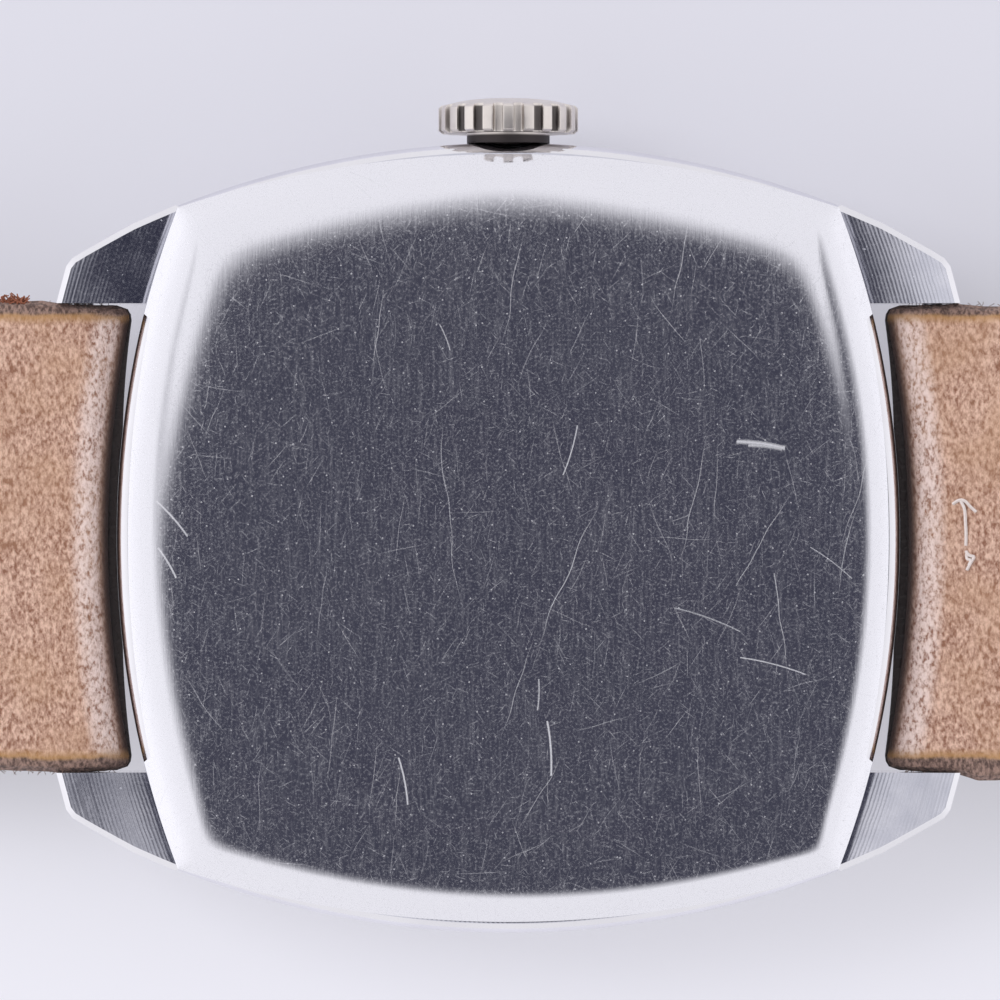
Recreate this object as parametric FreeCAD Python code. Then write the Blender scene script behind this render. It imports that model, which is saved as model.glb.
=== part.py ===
import FreeCAD, Part
import math
import os

from FreeCAD import Vector

# A hand-wound cushion case watch, lying face down with its strap open.
# The origin is the centre of the crystal's flat outer face, which rests at z = 0.
# +Z leaves through the case back, +X points to 12 o'clock, +Y to 3 o'clock and the crown.
# Every size is in millimetres.

# Case outline: four arcs that meet at the corners of a cushion
CORNER = 12.65
SIDE_APEX_Y = 15.23
SIDE_APEX_X = 15.10

# Outline of the pressed-on cover, and the seam round it
COVER_CORNER = 12.45
COVER_APEX_X = 15.05
COVER_APEX_Y = 14.75
SEAM = 0.03

# Heights of the case pieces, from the crystal to the back
CRYSTAL_TOP = 0.0
CRYSTAL_INNER = 1.3
BEZEL_FRONT = 0.6
MIDDLE_FRONT = 2.3
DIAL_FACE = 3.05
PLATE_FRONT = 3.45
PLATE_BACK = 5.05
BRIDGE_LOW = 6.15
BRIDGE_HIGH = 6.95
MIDDLE_BACK = 6.2
BACK_FLAT = 8.2
BACK_INNER = 7.65

# Radii of the round parts of the case
CRYSTAL_R = 12.3
BEZEL_R = 14.0
DIAL_OPENING_R = 11.7
FRONT_OPENING_R = 12.15
MOVEMENT_R = 12.75
CASE_BORE_R = 12.85
COVER_RIM_R = 13.5

# Lugs, spring bars and strap
STRAP_WIDTH = 18.0
STRAP_END_WIDTH = 16.0
LUG_GAP = 18.2
LUG_TIP_X = 17.33
BAR_X = 16.4
BAR_Z = 5.0
BAR_R = 0.65
BAR_TRAVEL = 0.75
TIP_R = 0.38
TIP_HOLE_R = 0.42
STRAP_BORE_R = 0.70
BUCKLE_X = 90.0
BUCKLE_Z = 4.4
BUCKLE_BAR_R = 0.7
TAIL_END_X = 128.0
TANG_HOLES = 7
TANG_HOLE_R = 1.0
TANG_HOLE_STEP = 6.5
TANG_HOLE_FIRST = 33.0

# Crown and stem
STEM_Z = 4.9
CROWN_R = 2.7
CROWN_FLUTES = 21
CROWN_IN = 15.34
CROWN_PULL = 0.8

# Places of the movement's pivots, seen from the back
CENTRE = (0.0, 0.0)
THIRD = (-3.682, 2.587)
FOURTH = (-6.5, 0.0)
ESCAPE = (-5.756, -3.216)
PALLET = (-4.342, -5.180)
BALANCE = (-2.6, -7.6)
BARREL = (5.220, 2.434)
CROWN_WHEEL = (0.0, 7.6)
MINUTE = (0.417, 2.364)
SETTING = (0.605, 5.057)
CLICK = (9.9, -2.6)

# Pivots run in holes that are this much larger in radius
PIVOT_R = 0.12
RUN = 0.03
JEWEL_R = 0.42

os.makedirs("parts", exist_ok=True)


def export(name, shape):
    """Write one piece of the watch under its own name."""
    shape.exportStep("parts/" + name + ".step")


# Small solids that every section uses

def rod(radius, low, high, place=CENTRE):
    """Upright round rod between two heights."""
    return Part.makeCylinder(radius, high - low, Vector(place[0], place[1], low))


def ring(outer, inner, low, high, place=CENTRE):
    """Upright ring between two heights."""
    return rod(outer, low, high, place).cut(rod(inner, low - 1, high + 1, place))


def rod_y(radius, y_low, y_high, x=0.0, z=STEM_Z):
    """Round rod that lies along Y."""
    return Part.makeCylinder(radius, y_high - y_low, Vector(x, y_low, z), Vector(0, 1, 0))


def box(x_low, x_high, y_low, y_high, z_low, z_high):
    """Block between two corners."""
    return Part.makeBox(x_high - x_low, y_high - y_low, z_high - z_low, Vector(x_low, y_low, z_low))


def prism(points, low, high):
    """Upright prism over a flat outline of straight lines."""
    corners = [Vector(x, y, low) for x, y in points]
    wire = Part.makePolygon(corners + corners[:1])
    return Part.Face(wire).extrude(Vector(0, 0, high - low))


def polar(place, radius, degrees):
    """Point at a distance and direction from a place in plan."""
    angle = math.radians(degrees)
    return (place[0] + radius * math.cos(angle), place[1] + radius * math.sin(angle))


def direction(start, end):
    """Direction in degrees from one place to another in plan."""
    return math.degrees(math.atan2(end[1] - start[1], end[0] - start[0]))


def turned(steps, place=CENTRE):
    """Lathe-turned arbor: each step is (low, high, radius), from the lowest up."""
    solid = rod(steps[0][2], steps[0][0], steps[0][1], place)
    for low, high, radius in steps[1:]:
        solid = solid.fuse(rod(radius, low, high, place))
    return solid.removeSplitter()


def revolved(profile, place=CENTRE):
    """Solid turned about an upright axis from (radius, height) points."""
    corners = [Vector(place[0] + radius, place[1], height) for radius, height in profile]
    face = Part.Face(Part.makePolygon(corners + corners[:1]))
    return face.revolve(Vector(place[0], place[1], 0), Vector(0, 0, 1), 360)


def slab_between(start, end, width, low, high):
    """Flat bar with round ends between two places in plan."""
    turn = math.radians(direction(start, end) + 90)
    side = (width / 2 * math.cos(turn), width / 2 * math.sin(turn))
    points = [
        (start[0] + side[0], start[1] + side[1]),
        (start[0] - side[0], start[1] - side[1]),
        (end[0] - side[0], end[1] - side[1]),
        (end[0] + side[0], end[1] + side[1]),
    ]
    solid = prism(points, low, high)
    for place in (start, end):
        solid = solid.fuse(rod(width / 2, low, high, place))
    return solid.removeSplitter()


def holes(shape, places, radius, low, high):
    """Drill the same upright hole at several places."""
    for place in places:
        shape = shape.cut(rod(radius, low, high, place))
    return shape


# Gears: straight-sided teeth with a little play, a tooth or a gap facing its partner

TOOTH_ROOT = 1.15
TOOTH_TIP = 0.90


def toothed(teeth, module, low, high, place, facing, gap=False):
    """Flat toothed disc. A tooth, or a gap, points in the direction facing."""
    pitch_radius = module * teeth / 2
    root = pitch_radius - TOOTH_ROOT * module
    tip = pitch_radius + TOOTH_TIP * module
    step = 360.0 / teeth
    first = facing + (step / 2 if gap else 0)
    points = []
    for tooth in range(teeth):
        for share, radius in ((-0.30, root), (-0.13, tip), (0.13, tip), (0.30, root)):
            points.append(polar(place, radius, first + (tooth + share) * step))
    return prism(points, low, high)


def crossed(disc, place, hub, rim, arms, arm_width, low, high):
    """Cut the windows between the arms of a wheel."""
    window = ring(rim, hub, low, high, place)
    for arm in range(arms):
        end = polar(place, rim + 1, arm * 360.0 / arms + 20)
        window = window.cut(slab_between(place, end, arm_width, low, high))
    return disc.cut(window)


def spiral_strip(place, inner, pitch, half_turns, thickness, low, high):
    """Flat coiled strip: half circles about two centres that lie half a pitch apart."""
    sides = []
    ends = []
    for offset in (0.0, thickness):
        side = []
        centre_x = place[0]
        sign = 1
        start = Vector(place[0] + inner + offset, place[1], low)
        ends.append(start)
        for _ in range(half_turns):
            radius = abs(start.x - centre_x)
            middle = Vector(centre_x, place[1] + sign * radius, low)
            end = Vector(2 * centre_x - start.x, place[1], low)
            side.append(Part.Arc(start, middle, end).toShape())
            start = end
            centre_x += sign * pitch / 2
            sign = -sign
        ends.append(start)
        sides.append(side)
    caps = [Part.makeLine(ends[0], ends[2]), Part.makeLine(ends[1], ends[3])]
    wire = Part.Wire(Part.__sortEdges__(sides[0] + sides[1] + caps))
    return Part.Face(wire).extrude(Vector(0, 0, high - low))


# Case middle with its four lugs

def cushion(apex_x, apex_y, corner, low, high):
    """Cushion-shaped block: four arcs through four corners."""
    c = corner
    arcs = [
        ((c, -c), (apex_x, 0), (c, c)),
        ((c, c), (0, apex_y), (-c, c)),
        ((-c, c), (-apex_x, 0), (-c, -c)),
        ((-c, -c), (0, -apex_y), (c, -c)),
    ]
    edges = []
    for start, middle, end in arcs:
        points = [Vector(x, y, low) for x, y in (start, middle, end)]
        edges.append(Part.Arc(*points).toShape())
    return Part.Face(Part.Wire(edges)).extrude(Vector(0, 0, high - low))


def edges_at_height(shape, height):
    """Edges that lie flat at one height."""
    found = []
    for edge in shape.Edges:
        box_of = edge.BoundBox
        if abs(box_of.ZMin - height) < 1e-4 and abs(box_of.ZMax - height) < 1e-4:
            found.append(edge)
    return found


LUG_OUTLINE = [(12.0, 12.3), (12.75, 12.66), (14.9, 11.62), (16.93, 10.42), (17.33, 9.1), (12.0, 9.1)]
FLANK_R = 0.38
LUG_FRONT = 2.9
LUG_TIP_BACK = 6.9
LUG_TURN_CENTRE_X = -18.0
LUG_CHAMFER = 0.28
TUBE_R = 0.9
TUBE_BORE_R = 0.5
CLAMP_LOW = PLATE_BACK
CLAMP_HIGH = PLATE_BACK + 0.28


def lug():
    """Lug at +X, +Y. Its underside is turned about the centre of the strap side's arc."""
    body = prism(LUG_OUTLINE, LUG_FRONT, LUG_TIP_BACK + 1)
    inner_r = 31.9
    outer_r = LUG_TIP_X - LUG_TURN_CENTRE_X + 3
    slope = (LUG_TIP_BACK - MIDDLE_BACK) / (LUG_TIP_X - LUG_TURN_CENTRE_X - inner_r)
    outer_z = MIDDLE_BACK + slope * (outer_r - inner_r)
    above = revolved(
        [(0, MIDDLE_BACK), (inner_r, MIDDLE_BACK), (outer_r, outer_z), (outer_r, 12), (0, 12)],
        (LUG_TURN_CENTRE_X, 0),
    )
    body = body.cut(above)
    edge_of_tip = [edge for edge in body.Edges if is_outer_back_edge(edge)]
    body = body.makeChamfer(LUG_CHAMFER, edge_of_tip)
    front = [
        Vector(CORNER - 0.4, 0, 0),
        Vector(CORNER - 0.4, 0, LUG_FRONT),
        Vector(LUG_TIP_X + 0.2, 0, LUG_FRONT + 1.5),
        Vector(LUG_TIP_X + 0.2, 0, 0),
    ]
    wedge = Part.Face(Part.makePolygon(front + front[:1])).extrude(Vector(0, 20, 0))
    body = body.cut(wedge)
    hole = rod_y(TIP_HOLE_R, LUG_GAP / 2 - 1, LUG_GAP / 2 + 0.95, BAR_X, BAR_Z)
    return body.cut(hole)


def is_outer_back_edge(edge):
    """True for the back edges that follow the lug's outer side and tip."""
    middle = edge.valueAt((edge.FirstParameter + edge.LastParameter) / 2)
    on_back = middle.z > MIDDLE_BACK - 0.05 and edge.BoundBox.ZLength < 1.0
    outer = middle.y > 9.3 and middle.x > 13.0
    rises = edge.BoundBox.ZMin > MIDDLE_BACK - 0.05
    on_side = middle.y > 11.6 - (middle.x - 14.9) * 0.6 - 0.25 or middle.x > 17.0
    return on_back and outer and rises and on_side


def case_middle():
    body = cushion(SIDE_APEX_X, SIDE_APEX_Y, CORNER, MIDDLE_FRONT, MIDDLE_BACK)
    body = body.makeChamfer(0.45, edges_at_height(body, MIDDLE_FRONT))
    body = body.makeFillet(FLANK_R, edges_at_height(body, MIDDLE_BACK))
    one = lug()
    across = one.mirror(Vector(0, 0, 0), Vector(0, 1, 0))
    lugs = [one, across]
    for solid in (one, across):
        lugs.append(solid.mirror(Vector(0, 0, 0), Vector(1, 0, 0)))
    body = body.fuse(lugs)
    seat = cushion(
        COVER_APEX_X + SEAM, COVER_APEX_Y + SEAM, COVER_CORNER + SEAM,
        MIDDLE_BACK, MIDDLE_BACK + 2,
    )
    body = body.cut(seat)
    body = body.fuse(rod(COVER_RIM_R, MIDDLE_BACK - 0.5, MIDDLE_BACK + 0.7))
    body = body.cut(rod(CASE_BORE_R, DIAL_FACE, MIDDLE_BACK + 2))
    body = body.cut(rod(FRONT_OPENING_R, MIDDLE_FRONT - 1, DIAL_FACE + 0.1))
    body = body.cut(ring(CASE_BORE_R + 0.4, CASE_BORE_R - 0.1, CLAMP_LOW - 0.05, CLAMP_HIGH + 0.08))
    body = body.cut(rod_y(TUBE_R, CASE_BORE_R - 1, SIDE_APEX_Y + 1))
    return body.removeSplitter()


export("case_middle", case_middle())
export("crown_tube", rod_y(TUBE_R, CASE_BORE_R + 0.1, 15.92).cut(rod_y(TUBE_BORE_R, 12, 17)))


# Pressed-on case back: rounded shoulders, a mitre at each corner, stepped in between the lugs

BACK_SHOULDER = 1.5
NOTCH_Y = 8.4
NOTCH_X = 13.75
NOTCH_APEX_X = 14.6


def case_back():
    cover = cushion(COVER_APEX_X, COVER_APEX_Y, COVER_CORNER, MIDDLE_BACK, BACK_FLAT)
    cover = cover.makeFillet(BACK_SHOULDER, edges_at_height(cover, BACK_FLAT))
    for side in (1, -1):
        inner = Part.Arc(
            Vector(side * NOTCH_X, -NOTCH_Y, 5),
            Vector(side * NOTCH_APEX_X, 0, 5),
            Vector(side * NOTCH_X, NOTCH_Y, 5),
        ).toShape()
        outer = Part.makePolygon([
            Vector(side * NOTCH_X, NOTCH_Y, 5),
            Vector(side * (NOTCH_X + 0.35), NOTCH_Y + 0.3, 5),
            Vector(side * 17, NOTCH_Y + 0.3, 5),
            Vector(side * 17, -NOTCH_Y - 0.3, 5),
            Vector(side * (NOTCH_X + 0.35), -NOTCH_Y - 0.3, 5),
            Vector(side * NOTCH_X, -NOTCH_Y, 5),
        ])
        trim = Part.Face(Part.Wire([inner] + outer.Edges))
        cover = cover.cut(trim.extrude(Vector(0, 0, 5)))
    cover = cover.cut(rod(COVER_RIM_R + 0.01, MIDDLE_BACK - 1, MIDDLE_BACK + 0.8))
    return cover.cut(rod(COVER_RIM_R - 0.5, MIDDLE_BACK - 1, BACK_INNER))


export("case_back", case_back())
export("back_gasket", ring(COVER_RIM_R - 0.05, CASE_BORE_R + 0.2, MIDDLE_BACK + 0.7, MIDDLE_BACK + 0.8))

# Bezel, crystal and the ring that holds the crystal

bezel = revolved([
    (DIAL_OPENING_R, CRYSTAL_INNER),
    (CRYSTAL_R + 0.3, CRYSTAL_INNER),
    (CRYSTAL_R + 0.3, BEZEL_FRONT),
    (CRYSTAL_R + 0.6, BEZEL_FRONT - 0.15),
    (BEZEL_R - 0.75, BEZEL_FRONT + 0.1),
    (BEZEL_R - 0.2, BEZEL_FRONT + 0.75),
    (BEZEL_R, BEZEL_FRONT + 1.3),
    (BEZEL_R, MIDDLE_FRONT),
    (FRONT_OPENING_R - 0.05, MIDDLE_FRONT),
    (FRONT_OPENING_R - 0.05, MIDDLE_FRONT + 0.5),
    (DIAL_OPENING_R, MIDDLE_FRONT + 0.5),
])
export("bezel", bezel)
export("crystal_gasket", ring(CRYSTAL_R + 0.3, CRYSTAL_R, BEZEL_FRONT, CRYSTAL_INNER))
export("crystal", revolved([
    (0, CRYSTAL_TOP),
    (CRYSTAL_R - 1.1, CRYSTAL_TOP),
    (CRYSTAL_R - 0.35, CRYSTAL_TOP + 0.22),
    (CRYSTAL_R, CRYSTAL_TOP + 0.6),
    (CRYSTAL_R, CRYSTAL_INNER),
    (0, CRYSTAL_INNER),
]))

# Crown: straight flutes round the rim, a shallow dome on the end, a neck towards the case

CROWN_RIM_IN = 15.62
CROWN_RIM_OUT = 16.68
CROWN_DOME = 16.86
CROWN_NECK_R = 1.63
FLUTE_DEPTH = 0.26
FLUTE_WIDTH = 0.36
CROWN_SOCKET_R = 1.3
STEM_R = 0.45
STEM_END = 16.4
PINION_WINDOW_IN = 6.0
STEM_PILOT_END = PINION_WINDOW_IN - 0.35 - CROWN_PULL


def crown():
    rim = rod_y(CROWN_R, CROWN_RIM_IN, CROWN_RIM_OUT)
    rim = rim.makeChamfer(0.08, [edge for edge in rim.Edges if edge.Length > 2 * CROWN_R * 3])
    cap_r = CROWN_R - FLUTE_DEPTH
    rise = CROWN_DOME - CROWN_RIM_OUT
    ball_r = (cap_r ** 2 + rise ** 2) / (2 * rise)
    ball = Part.makeSphere(ball_r, Vector(0, CROWN_DOME - ball_r, STEM_Z))
    cap = ball.common(rod_y(cap_r, CROWN_RIM_OUT - 0.02, CROWN_DOME + 1))
    slots = []
    for flute in range(CROWN_FLUTES):
        angle = (flute + 0.5) * 360.0 / CROWN_FLUTES
        slot = box(
            -FLUTE_WIDTH / 2, FLUTE_WIDTH / 2,
            CROWN_RIM_IN - 1, CROWN_RIM_OUT + 1,
            CROWN_R - FLUTE_DEPTH, CROWN_R + 1,
        )
        slot.rotate(Vector(0, 0, 0), Vector(0, 1, 0), angle)
        slot.translate(Vector(0, 0, STEM_Z))
        slots.append(slot)
    head = rim.cut(slots).fuse(cap)
    head = head.fuse(rod_y(CROWN_NECK_R, CROWN_IN, CROWN_RIM_IN + 0.1))
    head = head.cut(rod_y(CROWN_SOCKET_R, CROWN_IN - 1, CROWN_RIM_OUT - 0.55))
    return head.cut(rod_y(STEM_R, CROWN_IN, STEM_END)).removeSplitter()


export("crown", crown())
export("crown_gasket", rod_y(CROWN_SOCKET_R, 15.66, 15.9).cut(rod_y(TUBE_R + RUN, 15, 17)))

# Winding stem: round at the crown, a groove for the setting lever, a square for the sliding pinion

SQUARE = 0.62
GROOVE_Y = 10.9
GROOVE_HALF = 0.28
SLIDER_IN = 6.75
SLIDER_OUT = 8.56
PINION_IN = 8.70
PINION_OUT = 9.65


def winding_stem():
    body = rod_y(STEM_R, PINION_IN + 0.02, STEM_END)
    body = body.fuse(rod_y(0.3, STEM_PILOT_END, PINION_IN))
    half = SQUARE / 2
    body = body.fuse(box(-half, half, SLIDER_IN - 0.5, PINION_IN + 0.1, STEM_Z - half, STEM_Z + half))
    groove = rod_y(1.0, GROOVE_Y - GROOVE_HALF, GROOVE_Y + GROOVE_HALF)
    groove = groove.cut(rod_y(0.28, GROOVE_Y - 1, GROOVE_Y + 1))
    return body.cut(groove).removeSplitter()


export("winding_stem", winding_stem())

# Winding pinion and sliding pinion: face teeth lock them together until the crown is pulled

WINDING_TEETH = 12
WINDING_R = 1.35
FACE_TEETH = 8


def lying_gear(teeth, root, tip, y_low, y_high, first=90.0):
    """Toothed disc about the stem, a tooth pointing at the case back."""
    step = 360.0 / teeth
    corners = []
    for tooth in range(teeth):
        for share, radius in ((-0.24, root), (-0.14, tip), (0.14, tip), (0.24, root)):
            angle = math.radians(first + (tooth + share) * step)
            corners.append(Vector(radius * math.cos(angle), y_low, STEM_Z + radius * math.sin(angle)))
    face = Part.Face(Part.makePolygon(corners + corners[:1]))
    return face.extrude(Vector(0, y_high - y_low, 0))


def face_teeth(outer, inner, y_low, y_high, count, first):
    """Blocks that stand on the end of a pinion, set in a ring about the stem."""
    teeth = []
    step = 360.0 / count
    for tooth in range(count):
        corners = []
        for share, radius in ((-0.2, inner), (-0.2, outer), (0.2, outer), (0.2, inner)):
            angle = math.radians(first + (tooth + share) * step)
            corners.append(Vector(radius * math.cos(angle), y_low, STEM_Z + radius * math.sin(angle)))
        face = Part.Face(Part.makePolygon(corners + corners[:1]))
        teeth.append(face.extrude(Vector(0, y_high - y_low, 0)))
    return teeth


def winding_pinion():
    body = lying_gear(WINDING_TEETH, 1.18, 1.45, PINION_IN, PINION_OUT)
    body = body.fuse(face_teeth(0.95, 0.6, PINION_IN - 0.12, PINION_IN + 0.1, FACE_TEETH, 0))
    return body.cut(rod_y(STEM_R + 0.05, PINION_IN - 1, PINION_OUT + 1)).removeSplitter()


def sliding_pinion():
    body = rod_y(1.0, SLIDER_IN, SLIDER_OUT)
    groove = rod_y(1.5, 7.45, 7.95).cut(rod_y(0.66, 7, 9))
    body = body.cut(groove)
    half = SQUARE / 2 + RUN
    body = body.cut(box(-half, half, 6, 9, STEM_Z - half, STEM_Z + half))
    half_step = 180.0 / FACE_TEETH
    body = body.fuse(face_teeth(0.95, 0.6, SLIDER_OUT - 0.1, SLIDER_OUT + 0.12, FACE_TEETH, half_step))
    cuts = face_teeth(1.1, 0.62, SLIDER_IN - 0.1, SLIDER_IN + 0.2, FACE_TEETH, 0)
    return body.cut(cuts).removeSplitter()


export("winding_pinion", winding_pinion())
export("sliding_pinion", sliding_pinion())

# Setting lever, yoke and setting wheel, in the recess on the dial side of the plate

KEYLESS_LOW = 3.95
KEYLESS_HIGH = 4.25
LEVER_PIVOT = (3.3, 10.2)
YOKE_PIVOT = (5.0, 6.6)


def setting_lever():
    body = slab_between(LEVER_PIVOT, (0.72, GROOVE_Y), 0.5, KEYLESS_LOW, KEYLESS_HIGH)
    body = body.fuse(rod(0.75, KEYLESS_LOW, KEYLESS_HIGH, LEVER_PIVOT))
    body = body.fuse(rod(0.2, KEYLESS_LOW, STEM_Z - 0.05, (0.56, GROOVE_Y)))
    return body.cut(rod(0.3 + RUN, 3, 6, LEVER_PIVOT)).removeSplitter()


def yoke():
    body = slab_between(YOKE_PIVOT, (0.62, 7.7), 0.36, KEYLESS_LOW, KEYLESS_HIGH)
    body = body.fuse(rod(0.6, KEYLESS_LOW, KEYLESS_HIGH, YOKE_PIVOT))
    return body.cut(rod(0.25 + RUN, 3, 6, YOKE_PIVOT)).removeSplitter()


export("setting_lever", setting_lever())
export("yoke", yoke())

# Motion work: it turns the hour hand once for each twelve turns of the minute hand

CANNON_TEETH = 12
MINUTE_TEETH = 36
MINUTE_LEAVES = 10
HOUR_TEETH = 40
SETTING_TEETH = 18
MINUTE_MODULE = 0.1
HOUR_MODULE = 0.096
MINUTE_LOW = 3.98
MINUTE_HIGH = 4.13
HOUR_LOW = 3.64
HOUR_HIGH = 3.79
CANNON_R = 0.48
CANNON_TIP = 1.95
HOUR_PIPE_R = 0.75
HOUR_TIP = 2.42
STUD_R = 0.2


def cannon_pinion():
    facing = direction(CENTRE, MINUTE)
    body = toothed(CANNON_TEETH, MINUTE_MODULE, MINUTE_LOW - 0.05, MINUTE_HIGH + 0.04, CENTRE, facing)
    body = body.fuse(rod(CANNON_R, CANNON_TIP, MINUTE_HIGH))
    return body.cut(rod(0.3, 1, 5)).removeSplitter()


def minute_wheel():
    wheel = toothed(
        MINUTE_TEETH, MINUTE_MODULE, MINUTE_LOW, MINUTE_HIGH, MINUTE, direction(MINUTE, CENTRE), gap=True
    )
    pinion = toothed(
        MINUTE_LEAVES, HOUR_MODULE, HOUR_LOW - 0.04, MINUTE_LOW + 0.01, MINUTE, direction(MINUTE, CENTRE)
    )
    return wheel.fuse(pinion).cut(rod(STUD_R + RUN, 3, 5, MINUTE)).removeSplitter()


def hour_wheel():
    facing = direction(CENTRE, MINUTE)
    wheel = toothed(HOUR_TEETH, HOUR_MODULE, HOUR_LOW, HOUR_HIGH, CENTRE, facing, gap=True)
    wheel = wheel.fuse(rod(HOUR_PIPE_R, HOUR_TIP, HOUR_HIGH))
    return wheel.cut(rod(CANNON_R + 0.04, 1, 5)).removeSplitter()


def setting_wheel():
    # Its phase puts a gap where the minute wheel has a tooth
    minute_step = 360.0 / MINUTE_TEETH
    start = direction(MINUTE, CENTRE) + minute_step / 2
    toward = direction(MINUTE, SETTING)
    offset = ((toward - start) / minute_step) % 1.0
    own_step = 360.0 / SETTING_TEETH
    facing = direction(SETTING, MINUTE) + offset * own_step
    wheel = toothed(SETTING_TEETH, MINUTE_MODULE, MINUTE_LOW, MINUTE_HIGH, SETTING, facing, gap=True)
    return wheel.cut(rod(STUD_R + RUN, 3, 5, SETTING))


export("cannon_pinion", cannon_pinion())
export("minute_wheel", minute_wheel())
export("hour_wheel", hour_wheel())
export("setting_wheel", setting_wheel())

# Going train: barrel, centre, third, fourth and escape wheels

BARREL_TEETH = 84
BARREL_MODULE = 0.12
CENTRE_LEAVES = 12
CENTRE_TEETH = 80
CENTRE_MODULE = 0.1
THIRD_LEAVES = 10
THIRD_TEETH = 75
THIRD_MODULE = 0.09
FOURTH_LEAVES = 10
FOURTH_TEETH = 80
FOURTH_MODULE = 0.075
ESCAPE_LEAVES = 8
BARREL_LOW = 5.10
BARREL_HIGH = 6.05
BARREL_WALL_R = 4.75
CENTRE_WHEEL_LOW = 4.80
THIRD_WHEEL_LOW = 5.60
FOURTH_WHEEL_LOW = 5.15
WHEEL_THICK = 0.15
PLATE_WEB = 4.25


def train_wheel(place, wheel, pinion, arbor, hub, arms):
    """Wheel and pinion on one arbor. wheel and pinion are ready-made toothed discs."""
    disc, teeth_r, low = wheel
    disc = crossed(disc, place, hub, teeth_r, arms, 0.34, low - 1, low + 1)
    return disc.fuse(pinion).fuse(turned(arbor, place)).removeSplitter()


def centre_wheel():
    disc = toothed(
        CENTRE_TEETH, CENTRE_MODULE, CENTRE_WHEEL_LOW, CENTRE_WHEEL_LOW + WHEEL_THICK,
        CENTRE, direction(CENTRE, THIRD),
    )
    pinion = toothed(CENTRE_LEAVES, BARREL_MODULE, 4.9, 5.45, CENTRE, direction(CENTRE, BARREL), gap=True)
    arbor = [(CANNON_TIP, 4.45, 0.3), (4.45, 4.9, 0.45), (4.9, 6.12, 0.5), (6.12, 6.9, 0.25)]
    return train_wheel(CENTRE, (disc, 3.5, CENTRE_WHEEL_LOW), pinion, arbor, 0.95, 5)


def third_wheel():
    disc = toothed(
        THIRD_TEETH, THIRD_MODULE, THIRD_WHEEL_LOW, THIRD_WHEEL_LOW + WHEEL_THICK,
        THIRD, direction(THIRD, FOURTH),
    )
    pinion = toothed(THIRD_LEAVES, CENTRE_MODULE, 4.72, 5.4, THIRD, direction(THIRD, CENTRE), gap=True)
    arbor = [(PLATE_WEB, 4.72, PIVOT_R), (4.72, 6.12, 0.25), (6.12, 6.75, PIVOT_R)]
    return train_wheel(THIRD, (disc, 2.95, THIRD_WHEEL_LOW), pinion, arbor, 0.7, 5)


def fourth_wheel():
    disc = toothed(
        FOURTH_TEETH, FOURTH_MODULE, FOURTH_WHEEL_LOW, FOURTH_WHEEL_LOW + WHEEL_THICK,
        FOURTH, direction(FOURTH, ESCAPE),
    )
    pinion = toothed(FOURTH_LEAVES, THIRD_MODULE, 5.3, 5.95, FOURTH, direction(FOURTH, THIRD), gap=True)
    arbor = [(2.74, 5.09, PIVOT_R), (5.09, 6.12, 0.25), (6.12, 6.75, PIVOT_R)]
    return train_wheel(FOURTH, (disc, 2.6, FOURTH_WHEEL_LOW), pinion, arbor, 0.6, 5)


ESCAPE_TEETH = 15
ESCAPE_R = 2.1


def escape_wheel():
    step = 360.0 / ESCAPE_TEETH
    first = direction(ESCAPE, PALLET) + 29.8 - 4.6
    points = []
    for tooth in range(ESCAPE_TEETH):
        for share, radius in ((-0.62, 1.55), (-0.42, 1.55), (-0.16, ESCAPE_R - 0.06), (0.0, ESCAPE_R)):
            points.append(polar(ESCAPE, radius, first + (tooth + share) * step))
    disc = prism(points, THIRD_WHEEL_LOW, THIRD_WHEEL_LOW + WHEEL_THICK)
    pinion = toothed(ESCAPE_LEAVES, FOURTH_MODULE, 5.12, 5.5, ESCAPE, direction(ESCAPE, FOURTH), gap=True)
    arbor = [(4.4, 5.09, PIVOT_R), (5.09, 6.12, 0.2), (6.12, 6.75, PIVOT_R)]
    return train_wheel(ESCAPE, (disc, 1.3, THIRD_WHEEL_LOW), pinion, arbor, 0.5, 4)


export("centre_wheel", centre_wheel())
export("third_wheel", third_wheel())
export("fourth_wheel", fourth_wheel())
export("escape_wheel", escape_wheel())


def barrel_drum():
    facing = direction(BARREL, CENTRE)
    drum = toothed(BARREL_TEETH, BARREL_MODULE, BARREL_LOW, BARREL_LOW + 0.22, BARREL, facing)
    drum = drum.fuse(ring(BARREL_WALL_R, BARREL_WALL_R - 0.18, BARREL_LOW, BARREL_HIGH, BARREL))
    drum = drum.fuse(ring(BARREL_WALL_R - 0.1, 0.66, BARREL_HIGH - 0.15, BARREL_HIGH, BARREL))
    return drum.cut(rod(0.66, 4, 7, BARREL)).removeSplitter()


def barrel_arbor():
    arbor = turned([(4.5, 5.06, 0.35), (5.06, 6.1, 0.62), (6.1, 6.62, 0.45)], BARREL)
    half = 0.3
    x, y = BARREL
    square = box(x - half, x + half, y - half, y + half, 6.6, 7.05)
    return arbor.fuse(square).removeSplitter()


export("barrel_drum", barrel_drum())
export("barrel_arbor", barrel_arbor())
export("mainspring", spiral_strip(BARREL, 0.75, 0.38, 19, 0.12, BARREL_LOW + 0.28, BARREL_HIGH - 0.22))

# Winding wheels on the barrel bridge, and the click that keeps the ratchet from running back

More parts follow.
